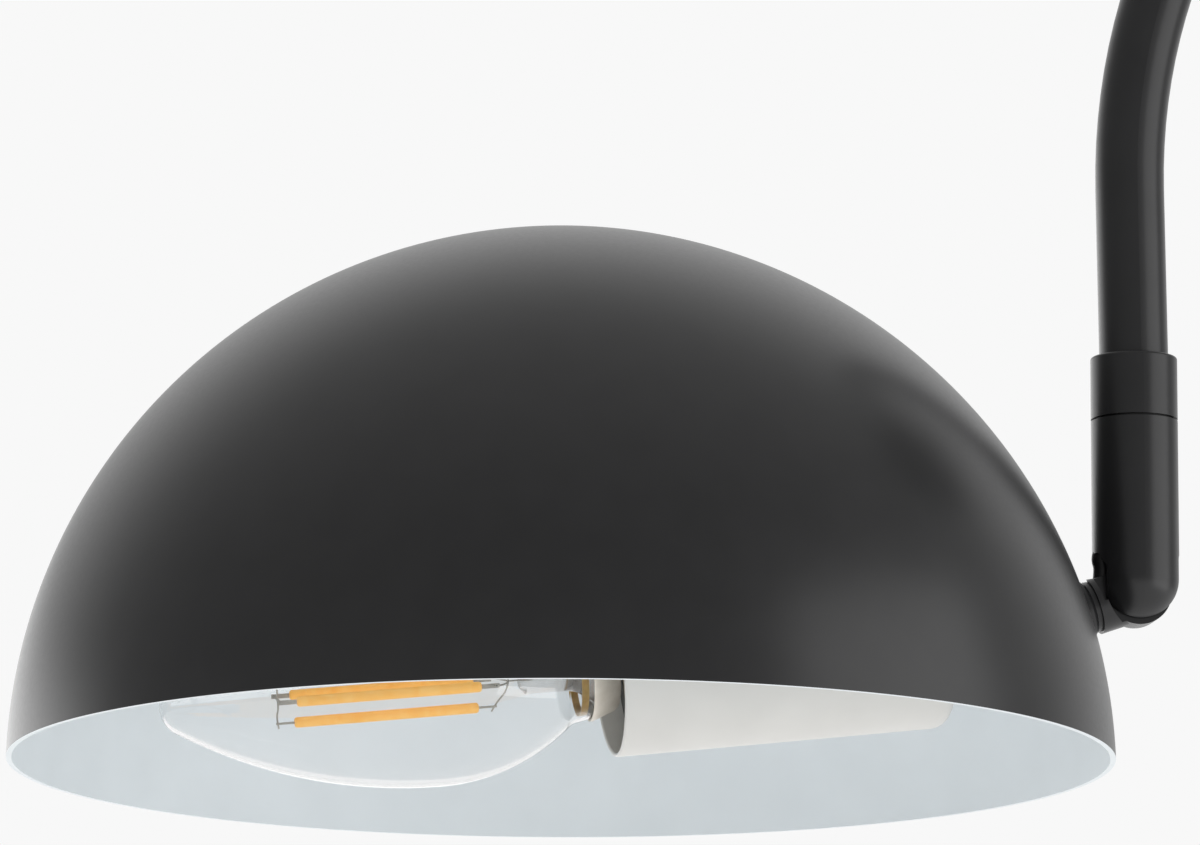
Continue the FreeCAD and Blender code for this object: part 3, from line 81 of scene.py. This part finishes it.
def finish(name, settings):
    """A new material whose surface has these settings; returns it, its tree and surface."""
    material = bpy.data.materials.new(name)
    material.use_nodes = True
    tree = material.node_tree
    tree.nodes.clear()
    surface = add(tree, "ShaderNodeBsdfPrincipled", settings)
    add(tree, "ShaderNodeOutputMaterial", links={"Surface": surface.outputs["BSDF"]})
    return material, tree, surface


def grain(tree, across, detail=2.0, stretch=(1, 1, 1)):
    """Noise whose grains are this many metres across, in the piece's own coordinates."""
    place = add(tree, "ShaderNodeTexCoord")
    sized = add(tree, "ShaderNodeMapping", {"Scale": stretch},
                {"Vector": place.outputs["Object"]})
    return add(tree, "ShaderNodeTexNoise", {"Scale": 1 / across, "Detail": detail},
               {"Vector": sized.outputs["Vector"]}).outputs["Fac"]


def roughen(tree, surface, factor, low, high):
    """Lets a surface's roughness wander between two levels."""
    level = add(tree, "ShaderNodeMapRange", {"To Min": low, "To Max": high},
                {"Value": factor})
    tree.links.new(level.outputs["Result"], surface.inputs["Roughness"])


def relief(tree, surface, factor, depth, strength=1.0):
    """Bumps of this many metres on a surface."""
    bump = add(tree, "ShaderNodeBump", {"Strength": strength, "Distance": depth},
               {"Height": factor})
    tree.links.new(bump.outputs["Normal"], surface.inputs["Normal"])


def two_tone(tree, surface, factor, dark, light):
    """Mottles a surface's colour between two hex colours."""
    ramp = add(tree, "ShaderNodeValToRGB", links={"Fac": factor})
    for i, (position, tone) in enumerate(((0.3, dark), (0.7, light))):
        ramp.color_ramp.elements[i].position = position
        ramp.color_ramp.elements[i].color = linear(tone)
    tree.links.new(ramp.outputs["Color"], surface.inputs["Base Color"])


sharp_angle = math.radians(32)


def coat(material, *names):
    """Gives nodes that keep their solids one finish."""
    for name in names:
        mesh = nodes[name].data
        mesh.materials.clear()
        mesh.materials.append(material)
        mesh.shade_smooth()
        mesh.set_sharp_from_angle(angle=sharp_angle)


def zinc_plated_steel():
    """Bright zinc on rolled sheet: cool grey with a faint spangle and fine scratches."""
    material, tree, surface = finish("zinc_plated_steel", {"Metallic": 1.0})
    spangle = grain(tree, 3.0 * mm)
    two_tone(tree, surface, spangle, "#B4B7BA", "#CDD0D1")
    scratches = grain(tree, 0.5 * mm, 4.0, (1, 1, 0.06))
    roughen(tree, surface, scratches, 0.26, 0.46)
    relief(tree, surface, scratches, 0.01 * mm, 0.4)
    return material


coat(zinc_plated_steel(), "wall_strap", "stiffener_disc", "toothed_washer", "nipple_nut",
     "arm_nipple", "stud_nut", "spring_washer", "swivel_stud", "stop_pin", "tilt_washers",
     "inner_washer", "coupling_nut", "bent_nipple", "cover_nut")


# --- Terminal block -------------------------------------------------------------------
# A small moulded block of white polyamide on the strap, with three brass clamp tubes in
# its wire ways.

def moulded_polyamide():
    """White moulded polyamide: matt, slightly uneven where the mould was textured."""
    material, tree, surface = finish("moulded_polyamide", {"Roughness": 0.5, "IOR": 1.53})
    mottle = grain(tree, 2.0 * mm)
    two_tone(tree, surface, mottle, "#DCDCD6", "#E8E8E3")
    relief(tree, surface, grain(tree, 0.3 * mm), 0.01 * mm, 0.5)
    return material


def turned_brass():
    """Brass from the lathe: yellow, with fine turning marks and a little tarnish."""
    material, tree, surface = finish("turned_brass", {"Metallic": 1.0})
    tarnish = grain(tree, 2.5 * mm)
    two_tone(tree, surface, tarnish, "#A9853F", "#CDAA5C")
    roughen(tree, surface, tarnish, 0.24, 0.4)
    return material


coat(moulded_polyamide(), "terminal_block")
coat(turned_brass(), "terminal_tubes", "centre_contact")


# --- Wall plate, arm and knuckle ------------------------------------------------------
# Steel pressed, bent and turned, all under one satin black powder coat. The arm is a plain
# round tube that goes into a collar; a knuckle with a round nose hangs under the collar.

def black_powder_coat():
    """Satin black polyester powder: soft highlights and a very fine orange peel."""
    material, tree, surface = finish("black_powder_coat", {"IOR": 1.5})
    film = grain(tree, 9.0 * mm)
    two_tone(tree, surface, film, "#202021", "#242425")
    peel = grain(tree, 0.9 * mm, 3.0)
    roughen(tree, surface, peel, 0.27, 0.34)
    relief(tree, surface, peel, 0.004 * mm, 0.5)
    return material


powder = black_powder_coat()
coat(powder, "wall_plate", "side_screws", "arm_ferrule", "arm_tube", "swivel_collar",
     "knuckle_body", "tilt_pin", "tilt_stub", "cone_seat")


def black_nylon():
    """Moulded nylon washer in the swivel's gap: matt black."""
    material, tree, surface = finish("black_nylon", {"Roughness": 0.6, "IOR": 1.53})
    two_tone(tree, surface, grain(tree, 1.5 * mm), "#101010", "#161616")
    return material


coat(black_nylon(), "gap_washer")


# --- Flex -----------------------------------------------------------------------------
# Round two-core flex in a black sheath. It comes down the tube, shows in the knuckle's
# slot, and goes on through the stub to the lampholder.

def flex_sheath():
    """Smooth extruded sheath, black, with a slight gloss."""
    material, tree, surface = finish("flex_sheath", {"IOR": 1.53})
    two_tone(tree, surface, grain(tree, 4.0 * mm), "#0C0C0D", "#131314")
    roughen(tree, surface, grain(tree, 1.5 * mm), 0.36, 0.5)
    return material


sheath = flex_sheath()
coat(sheath, "arm_flex", "holder_flex")
tilt_pin = Vector(joints["shade_tilt"]["pos_m"])
flex_radius = 1.8 * mm
# The route in the knuckle, as distances out from the swivel's axis and above the tilt pin.
flex_route = [(0, 23.8), (0, 14.2), (3.1, 9.3), (5.9, 7.5), (6.6, 6.2), (6.1, 4.7),
              (6.2, 2.6), (6.6, 0.2), (7.7, -2.4), (9.9, -3.5)]


def bent_tube(route, radius, facets, steps):
    """A mesh of a round tube along a route, rounded at its bends and closed at its ends."""
    curve = bpy.data.curves.new("tube", "CURVE")
    curve.dimensions = "3D"
    curve.bevel_depth = radius
    curve.bevel_resolution = facets
    curve.resolution_u = steps
    curve.use_fill_caps = True
    line = curve.splines.new("NURBS")
    line.points.add(len(route) - 1)
    for point, spot in zip(line.points, route):
        point.co = (*spot, 1)
    line.order_u = 3
    line.use_endpoint_u = True
    bent = bpy.data.objects.new("tube", curve)
    mesh = bpy.data.meshes.new_from_object(bent)
    bpy.data.objects.remove(bent)
    return mesh


def make_knuckle_flex():
    """The flex through the knuckle: out of the slot's top and down into the stub."""
    mesh = bent_tube([tilt_pin + Vector((0, -out, up)) * mm for out, up in flex_route],
                     flex_radius, facets=8, steps=10)
    mesh.name = "flex_in_knuckle"
    mesh.materials.clear()
    mesh.materials.append(sheath)
    mesh.shade_smooth()
    piece = bpy.data.objects.new("flex_in_knuckle", mesh)
    bpy.context.scene.collection.objects.link(piece)
    return piece


knuckle_flex = make_knuckle_flex()
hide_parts("knuckle_flex")
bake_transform(knuckle_flex)


# --- Shade ----------------------------------------------------------------------------
# A half sphere spun from 1 mm sheet, sprayed satin black outside and a cool white inside.
# Its cut edge is flat and shows as a thin light line where the white wraps round.
shade_radius = 100 * mm
shade_wall = 1.0 * mm
rim_height = 3.1 * mm
stub_slope = math.radians(19.3)
pin_to_shade = 113 * mm
stub_axis = Vector((0, -math.cos(stub_slope), -math.sin(stub_slope)))
shade_centre = tilt_pin + stub_axis * pin_to_shade


def place_mesh(name, form, place, materials):
    """Puts a finished bmesh in the scene, moved and turned to its place in its own mesh."""
    bmesh.ops.transform(form, matrix=place, verts=form.verts)
    mesh = bpy.data.meshes.new(name)
    form.to_mesh(mesh)
    form.free()
    for material in materials:
        mesh.materials.append(material)
    mesh.shade_smooth()
    mesh.set_sharp_from_angle(angle=sharp_angle)
    piece = bpy.data.objects.new(name, mesh)
    bpy.context.scene.collection.objects.link(piece)
    return piece


def white_lining():
    """Sprayed white lacquer on the inside of the shade, a little cool and nearly matt."""
    material, tree, surface = finish("white_lining", {"IOR": 1.5})
    two_tone(tree, surface, grain(tree, 14.0 * mm), "#E6ECEF", "#EAF0F3")
    peel = grain(tree, 0.9 * mm, 3.0)
    roughen(tree, surface, peel, 0.42, 0.52)
    relief(tree, surface, peel, 0.004 * mm, 0.4)
    return material


lining = white_lining()


def make_shade():
    """The shade's shell: a sphere cut off at the rim and given its wall."""
    form = bmesh.new()
    bmesh.ops.create_uvsphere(form, u_segments=256, v_segments=160, radius=shade_radius)
    bmesh.ops.bisect_plane(form, geom=form.verts[:] + form.edges[:] + form.faces[:],
                           plane_co=(0, 0, rim_height), plane_no=(0, 0, 1),
                           clear_inner=True)
    bmesh.ops.recalc_face_normals(form, faces=form.faces)
    if form.faces[0].normal.dot(form.faces[0].calc_center_median()) < 0:
        bmesh.ops.reverse_faces(form, faces=form.faces)
    bmesh.ops.solidify(form, geom=form.faces[:], thickness=shade_wall)
    for face in form.faces:
        outward = face.normal.dot(face.calc_center_median().normalized())
        face.material_index = 0 if outward >= 0.5 else 1
    return place_mesh("shade", form, Matrix.Translation(shade_centre), [powder, lining])


shade = make_shade()
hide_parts("shade_dome")
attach(shade, "shade")


# --- Lampholder and its cover ---------------------------------------------------------
# A drawn steel cup, painted warm white, hides a two-piece lampholder of black thermoset
# with a white insert and a nickel-plated thread shell.
bulb_slope = math.radians(6.2)
pin_to_elbow = 30.4 * mm
elbow_to_cup = 7.7 * mm
cup_length = 62 * mm
cup_radius = 15.3 * mm
cup_back_radius = 14.9 * mm
cup_edge = 3.5 * mm
cup_wall = 0.8 * mm
nipple_hole = 4.05 * mm
bulb_axis = Vector((0, -math.cos(bulb_slope), -math.sin(bulb_slope)))
cup_mouth = tilt_pin + stub_axis * pin_to_elbow + bulb_axis * (elbow_to_cup + cup_length)
on_bulb_axis = Matrix.Translation(cup_mouth) @ Matrix.Rotation(
    math.pi / 2 + bulb_slope, 4, "X")


def arc(centre, radius, first, last, steps):
    """Points (radius, height) on an arc about a centre, between two angles in degrees."""
    turns = [math.radians(first + (last - first) * i / steps) for i in range(steps + 1)]
    return [(centre[0] + radius * math.cos(t), centre[1] + radius * math.sin(t))
            for t in turns]


def spun(outline, steps=96):
    """A bmesh spun about Z from a closed outline of (radius, height) points."""
    form = bmesh.new()
    spots = [form.verts.new((max(r, 0), 0, h)) for r, h in outline]
    for i, spot in enumerate(spots):
        form.edges.new((spots[i - 1], spot))
    bmesh.ops.spin(form, geom=form.verts[:] + form.edges[:], axis=(0, 0, 1),
                   cent=(0, 0, 0), angle=2 * math.pi, steps=steps, use_merge=True)
    bmesh.ops.remove_doubles(form, verts=form.verts, dist=1e-7)
    bmesh.ops.dissolve_degenerate(form, edges=form.edges, dist=1e-7)
    bmesh.ops.recalc_face_normals(form, faces=form.faces)
    return form


def warm_white_paint():
    """Satin stove enamel, warm white, over drawn steel."""
    material, tree, surface = finish("warm_white_paint", {"IOR": 1.5})
    two_tone(tree, surface, grain(tree, 10.0 * mm), "#D8D7D3", "#DCDBD7")
    peel = grain(tree, 0.8 * mm, 3.0)
    roughen(tree, surface, peel, 0.3, 0.4)
    return material


def black_thermoset():
    """Compression-moulded thermoset: hard black with a dull shine."""
    material, tree, surface = finish("black_thermoset", {"IOR": 1.6})
    two_tone(tree, surface, grain(tree, 3.0 * mm), "#151515", "#1C1C1B")
    roughen(tree, surface, grain(tree, 1.0 * mm), 0.28, 0.42)
    return material


def glazed_steatite():
    """Pressed steatite with a thin glaze: off-white and smooth."""
    material, tree, surface = finish("glazed_steatite", {"Roughness": 0.22, "IOR": 1.55})
    two_tone(tree, surface, grain(tree, 4.0 * mm), "#DDD9CF", "#E8E5DC")
    return material


def nickel_plate_painted_reflection():
    """Nickel on rolled brass: satin, with small dents and haze, and a pale warm colour that is
    partly its own silver and partly painted reflection of the white lining and the filaments.
    """
    material, tree, surface = finish("nickel_plate_painted_reflection", {"Metallic": 0.2})
    haze = grain(tree, 2.0 * mm)
    # Pale warm tones: the nickel's silver with a painted reflection of the lining and filaments.
    two_tone(tree, surface, haze, "#E6DED0", "#F2EBDF")
    roughen(tree, surface, haze, 0.3, 0.45)
    relief(tree, surface, grain(tree, 1.2 * mm), 0.02 * mm, 0.4)
    return material


def make_cover():
    """The cover: a drawn cup with a rounded back and an open mouth with a rolled lip."""
    back = -cup_length
    corner = (cup_back_radius - cup_edge, back + cup_edge)
    lip = cup_wall / 2
    outline = [(nipple_hole, back), (cup_back_radius - cup_edge, back)]
    outline += arc(corner, cup_edge, -90, 0, steps=8)
    outline += arc((cup_radius - lip, -lip), lip, 0, 180, steps=8)
    outline += arc(corner, cup_edge - cup_wall, 0, -90, steps=8)
    outline.append((nipple_hole, back + cup_wall))
    return place_mesh("cover", spun(outline, steps=128), on_bulb_axis, [warm_white])


warm_white = warm_white_paint()
cover = make_cover()
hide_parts("holder_cover")
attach(cover, "shade")
nickel = nickel_plate_painted_reflection()
coat(black_thermoset(), "holder_cap", "holder_body")
coat(glazed_steatite(), "holder_insert")
coat(nickel, "thread_shell")


# --- Bulb -----------------------------------------------------------------------------
# A clear candle bulb with four yellow filament sticks. The glass is blown thin and its neck
# is cemented into a nickel-plated screw cap with a flared skirt.
rim_to_mouth = 4.2 * mm
glass_radius = 18 * mm
glass_wall = 0.5 * mm
glass_play = 0.05 * mm
glass_foot = -1.6 * mm
foot_taper = 0.55 * mm
neck_start = 0.1 * mm
widest_at = 27.8 * mm
neck_radius = 8.9 * mm
shoulder_curve = 37 * mm
taper_curve = 91 * mm
tip_slope = 31.5
skirt_radius = 8.5 * mm
skirt_length = 4.6 * mm
skirt_edge = 0.5 * mm
skirt_step = 0.6 * mm
cap_wall = 0.35 * mm
thread_radius = 6.95 * mm
thread_length = 15 * mm
thread_pitch = 2.8 * mm
thread_depth = 0.55 * mm
thread_gap = 1 * mm
crest_steps = 12
turn_steps = 64
on_cap_rim = on_bulb_axis @ Matrix.Translation((0, 0, rim_to_mouth))


def blown_glass():
    """Clear soda-lime glass, blown thin: nearly invisible face on, grey at its edges."""
    return finish("blown_glass", {
        "Base Color": linear("#FFFFFF"), "Roughness": 0.0, "IOR": 1.5,
        "Transmission Weight": 1.0})[0]


def glass_profile(inset):
    """Neck to tip of the glass, taken in by an inset, as (radius, height) points."""
    centre = glass_radius - shoulder_curve
    curve = shoulder_curve - inset
    neck = math.degrees(math.acos((neck_radius - inset - centre) / curve))
    body = arc((centre, widest_at), curve, -neck, 0, steps=16)
    belly = glass_radius - taper_curve
    curve = taper_curve - inset
    taper = arc((belly, widest_at), curve, 0, tip_slope, steps=24)[1:]
    end_radius, end_height = taper[-1]
    curve = end_radius / math.cos(math.radians(tip_slope))
    low = end_height - curve * math.sin(math.radians(tip_slope))
    return body + taper + arc((0, low), curve, tip_slope, 90, steps=12)[1:]


def make_glass():
    """The glass: one closed wall from the skirt to the tip, hollow inside."""
    seat = skirt_radius - cap_wall - glass_play
    lead = [(seat - foot_taper, glass_foot), (seat, neck_start)]
    outside = lead + glass_profile(0)
    inside = [(r - glass_wall, h) for r, h in lead] + glass_profile(glass_wall)
    return place_mesh("glass", spun(outside + inside[::-1]), on_cap_rim, [clear])


def make_cap():
    """The screw cap: a flared skirt, and a rolled thread as one helix of round crests."""
    root = thread_radius - thread_depth
    foot = -skirt_length - skirt_step
    form = spun([
        (skirt_radius, 0), (skirt_radius, -skirt_edge), (thread_radius, -skirt_length),
        (root, foot), (root - cap_wall, foot),
        (thread_radius - cap_wall, skirt_step / 2 - skirt_length),
        (skirt_radius - cap_wall, -skirt_step), (skirt_radius - cap_wall, 0)])
    turns = (thread_length - thread_pitch) / thread_pitch
    back = -skirt_length - thread_gap - thread_length
    wave = bmesh.new()
    spots = []
    for i in range(crest_steps + 1):
        dip = 0.5 - 0.5 * math.cos(2 * math.pi * i / crest_steps)
        spots.append(wave.verts.new((thread_radius - thread_depth * dip, 0,
                                     back + thread_pitch * i / crest_steps)))
    for low, high in zip(spots, spots[1:]):
        wave.edges.new((low, high))
    steps = round(turn_steps * turns)
    bmesh.ops.spin(wave, geom=wave.verts[:] + wave.edges[:], axis=(0, 0, 1),
                   cent=(0, 0, 0), dvec=(0, 0, thread_pitch * turns / steps),
                   angle=2 * math.pi * turns, steps=steps, use_merge=False)
    bmesh.ops.remove_doubles(wave, verts=wave.verts, dist=0.02 * mm)
    bmesh.ops.recalc_face_normals(wave, faces=wave.faces)
    outward = sum(face.normal.dot(Vector((*face.calc_center_median().xy, 0)))
                  for face in wave.faces)
    if outward < 0:
        bmesh.ops.reverse_faces(wave, faces=wave.faces)
    joined = bpy.data.meshes.new("thread")
    wave.to_mesh(joined)
    wave.free()
    form.from_mesh(joined)
    bpy.data.meshes.remove(joined)
    return place_mesh("screw_cap", form, on_cap_rim, [nickel])


def capping_cement():
    """Baked capping cement: a brittle amber resin, a little translucent and glossy."""
    material, tree, surface = finish("capping_cement", {
        "Roughness": 0.3, "IOR": 1.55, "Subsurface Weight": 0.2,
        "Subsurface Scale": 1 * mm})
    two_tone(tree, surface, grain(tree, 1.2 * mm), "#C49A48", "#DDB866")
    return material


coat(capping_cement(), "cap_cement")
clear = blown_glass()
glass = make_glass()
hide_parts("bulb_glass")
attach(glass, "bulb")
cap = make_cap()
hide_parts("bulb_cap")
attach(cap, "bulb")


# --- Filaments ------------------------------------------------------------------------
# Four glass sticks coated with yellow phosphor resin. A flat steel tab at each end is
# welded to a thin wire, and the wires near the cap stand on a pressed glass stem.
stick_radius = 0.95 * mm
stick_length = 33.6 * mm
stick_round = 0.5 * mm
stick_start = 20 * mm
stick_circle = 4.4 * mm
stick_turn = math.radians(-16)
tab_size = Vector((0.8, 0.3, 3.6)) * mm
tab_overlap = 0.3 * mm
wire_radius = 0.16 * mm
wire_from_stick = 2.9 * mm
# The wires' routes, as millimetres sideways, out from the bulb's axis and towards its tip.
# Far from the cap each wire joins a stick to the next and wanders a little. Near the cap it
# bows back to the post on the stem.
far_route = [(0, 5.3, 0), (0.3, 3.08, 0.3), (-0.2, 1.54, -0.2), (0, 0, 0)]
near_route = [(0, 5.3, 0.6), (0, 4.4, 0), (0.2, 3.3, -0.9), (0, 1.76, -2.4), (0, 0, -2.8)]
post_route = [(0, 0, -2.6), (0.1, 0, -4.5), (0, 0, -7.0)]


def phosphor_resin_painted_glow():
    """Yellow phosphor in silicone: a soft opaque amber, with a faint painted glow in place of
    the light that it lets through.
    """
    # The emission below is a faint painted glow on the sticks.
    material, tree, surface = finish("phosphor_resin_painted_glow", {
        "Roughness": 0.55, "IOR": 1.41, "Emission Strength": 0.3,
        "Emission Color": linear("#FFB733")})
    two_tone(tree, surface, grain(tree, 2.0 * mm), "#F7B748", "#FFCB70")
    return material


def make_sticks():
    """Four round-ended sticks on a circle about the bulb's axis."""
    form = bmesh.new()
    for quarter in range(4):
        across = Matrix.Rotation(stick_turn + quarter * math.pi / 2, 4, "Z") @ (
            Matrix.Translation((0, stick_circle, stick_start + stick_length / 2)))
        made = bmesh.ops.create_cone(form, cap_ends=True, segments=24,
                                     radius1=stick_radius, radius2=stick_radius,
                                     depth=stick_length, matrix=across)
        rims = {edge for vert in made["verts"] for edge in vert.link_edges
                if len(edge.link_faces) == 2
                and edge.link_faces[0].normal.dot(edge.link_faces[1].normal) < 0.5}
        bmesh.ops.bevel(form, geom=list(rims), offset=stick_round, segments=3,
                        profile=0.5, affect="EDGES", material=-1)
    return place_mesh("filament_sticks", form, on_cap_rim, [phosphor_resin_painted_glow()])


sticks = make_sticks()
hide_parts("filaments")
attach(sticks, "bulb")


def pressed_glass():
    """Lead glass pressed while soft: clear, but milky where it was pinched and reheated."""
    material, tree, surface = finish("pressed_glass", {
        "Roughness": 0.12, "IOR": 1.56, "Transmission Weight": 0.8})
    two_tone(tree, surface, grain(tree, 2.0 * mm), "#F3F1EE", "#FFFFFF")
    return material


coat(pressed_glass(), "bulb_stem")


def steel_wire():
    """Drawn nickel-iron wire and strip: dull grey from the welding heat."""
    material, tree, surface = finish("steel_wire", {"Metallic": 0.5, "Roughness": 0.5})
    two_tone(tree, surface, grain(tree, 1.0 * mm), "#A29E94", "#BEBAB0")
    return material


def bend_wire(form, place, route):
    """Adds a thin wire along a route from a place on the bulb's axis."""
    mesh = bent_tube([place @ (Vector(spot) * mm) for spot in route], wire_radius,
                     facets=2, steps=6)
    form.from_mesh(mesh)
    bpy.data.meshes.remove(mesh)


def make_wires():
    """Tabs on both ends of each stick, a cross of wire far from the cap and one near it."""
    form = bmesh.new()
    near = Matrix.Translation((0, 0, stick_start - wire_from_stick))
    far = Matrix.Translation((0, 0, stick_start + stick_length + wire_from_stick))
    tab_reach = tab_size.z / 2 - tab_overlap
    for quarter in range(4):
        turned = Matrix.Rotation(stick_turn + quarter * math.pi / 2, 4, "Z")
        for height in (stick_start - tab_reach, stick_start + stick_length + tab_reach):
            bmesh.ops.create_cube(form, size=1, matrix=turned @ Matrix.Translation(
                (0, stick_circle, height)) @ Matrix.Diagonal((*tab_size, 1)))
        bend_wire(form, turned @ far, far_route)
        bend_wire(form, turned @ near, near_route)
    bend_wire(form, near, post_route)
    return place_mesh("filament_frame", form, on_cap_rim, [steel_wire()])


frame_wires = make_wires()
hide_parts("filament_wires")
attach(frame_wires, "bulb")


def black_glass():
    """Vitreous insulator at the end of the cap: fused black glass."""
    material, tree, surface = finish("black_glass", {"IOR": 1.6})
    two_tone(tree, surface, grain(tree, 2.0 * mm), "#0B0B0C", "#141416")
    roughen(tree, surface, grain(tree, 1.0 * mm), 0.08, 0.2)
    return material


def tin_solder():
    """A blob of tin solder on the end contact: dull grey."""
    material, tree, surface = finish("tin_solder", {"Metallic": 1.0})
    two_tone(tree, surface, grain(tree, 1.0 * mm), "#8E8E8C", "#A8A8A6")
    roughen(tree, surface, grain(tree, 0.5 * mm), 0.35, 0.55)
    return material


coat(black_glass(), "cap_insulator")
coat(tin_solder(), "end_contact")


# --- Floor, light and camera ----------------------------------------------------------
# A pale studio: a plain floor far below, a white surround with soft patches of light at the
# left, behind the lamp and overhead, and one soft box at the right.
floor_height = -2.4
floor_size = 16.0
floor_grain = 0.4
room_level = 0.36


def studio_floor():
    """Pale matt floor that shows as white to the camera's rays."""
    material, tree, surface = finish("studio_floor", {
        "Roughness": 0.9, "Emission Color": linear("#FFFFFF"), "Emission Strength": 0.48})
    two_tone(tree, surface, grain(tree, floor_grain), "#E9E9E9", "#ECECEC")
    return material


floor_form = bmesh.new()
bmesh.ops.create_grid(floor_form, x_segments=1, y_segments=1, size=floor_size)
floor = place_mesh("floor", floor_form, Matrix.Translation((0, 0, floor_height)),
                   [studio_floor()])

world = bpy.data.worlds.new("studio")
world.use_nodes = True
sky = world.node_tree
sky.nodes.clear()
way = add(sky, "ShaderNodeTexCoord").outputs["Generated"]


def glow(direction, low, high, strength):
    """A soft patch of light on the surround about a direction, between two cosines."""
    facing = add(sky, "ShaderNodeVectorMath", {"operation": "DOT_PRODUCT"})
    sky.links.new(way, facing.inputs[0])
    facing.inputs[1].default_value = direction
    return add(sky, "ShaderNodeMapRange", {
        "interpolation_type": "SMOOTHSTEP", "From Min": low, "From Max": high,
        "To Max": strength}, {"Value": facing.outputs["Value"]}).outputs["Result"]


def combine(operation, first, second):
    """Joins two of the surround's levels."""
    node = add(sky, "ShaderNodeMath", {"operation": operation})
    for socket, level in zip(node.inputs, (first, second)):
        if isinstance(level, float):
            socket.default_value = level
        else:
            sky.links.new(level, socket)
    return node.outputs["Value"]


low_band = combine("SUBTRACT", 1.0, glow((0, 0, 1), low=0.12, high=0.3, strength=1.0))
left_cove = combine("MULTIPLY", low_band,
                    glow((-0.91, -0.41, 0), low=0.7, high=0.95, strength=1.5))
behind = glow((-0.977, 0.159, 0.141), low=0.3, high=0.85, strength=0.42)
overhead = glow((-0.3, 0, 0.95), low=0.4, high=1.0, strength=0.25)
level = combine("ADD", combine("ADD", behind, overhead),
                combine("ADD", left_cove, room_level))
# The camera, also through glass, sees a plain backdrop. All other rays see the room.
rays = add(sky, "ShaderNodeLightPath")
seen = add(sky, "ShaderNodeMath", {"operation": "MAXIMUM"})
sky.links.new(rays.outputs["Is Camera Ray"], seen.inputs[0])
sky.links.new(rays.outputs["Is Transmission Ray"], seen.inputs[1])
room = add(sky, "ShaderNodeBackground", {"Color": linear("#FFFFFF")},
           {"Strength": level})
backdrop = add(sky, "ShaderNodeBackground", {"Color": linear("#F8F8F8"), "Strength": 1.0})
shown = add(sky, "ShaderNodeMixShader", links={"Fac": seen.outputs["Value"]})
sky.links.new(room.outputs["Background"], shown.inputs[1])
sky.links.new(backdrop.outputs["Background"], shown.inputs[2])
add(sky, "ShaderNodeOutputWorld", links={"Surface": shown.outputs["Shader"]})
bpy.context.scene.world = world


def soft_box(name, place, aim, width, height, power):
    """A rectangular soft light at a place, turned to its aim."""
    light = bpy.data.lights.new(name, "AREA")
    light.shape = "RECTANGLE"
    light.size = width
    light.size_y = height
    light.energy = power
    lamp = bpy.data.objects.new(name, light)
    lamp.location = place
    lamp.rotation_euler = (Vector(place) - Vector(aim)).to_track_quat("Z", "Y").to_euler()
    bpy.context.scene.collection.objects.link(lamp)


soft_box("right_box", shade_centre + Vector((0.52, 0.98, 0.12)), shade_centre,
         width=1.0, height=0.95, power=4.0)

# The camera stands a little under the shade and looks up at it; the middle of the shade's
# sphere falls low in the picture, left of its middle.
picture_width = 1200
picture_height = 845
focal_pixels = 8310
centre_pixel = (561.0, 780.0)
camera_azimuth = math.radians(9.27)
camera_elevation = math.radians(-8.12)
camera_roll = math.radians(-0.16)
camera_distance = 1.5
sensor = 36.0
back = Vector((math.cos(camera_elevation) * math.cos(camera_azimuth),
               -math.cos(camera_elevation) * math.sin(camera_azimuth),
               math.sin(camera_elevation)))
towards = Vector((centre_pixel[0] - picture_width / 2,
                  picture_height / 2 - centre_pixel[1], -focal_pixels)).normalized()
offset = Vector((0, 0, -1)).rotation_difference(towards)
turn = back.to_track_quat("Z", "Y") @ offset.inverted() @ Quaternion(towards, camera_roll)
eye = bpy.data.cameras.new("eye")
eye.sensor_width = sensor
eye.lens = focal_pixels * sensor / picture_width
camera = bpy.data.objects.new("eye", eye)
camera.location = shade_centre + back * camera_distance
camera.rotation_mode = "QUATERNION"
camera.rotation_quaternion = turn
bpy.context.scene.collection.objects.link(camera)
bpy.context.scene.camera = camera
bpy.context.scene.view_settings.view_transform = "Standard"
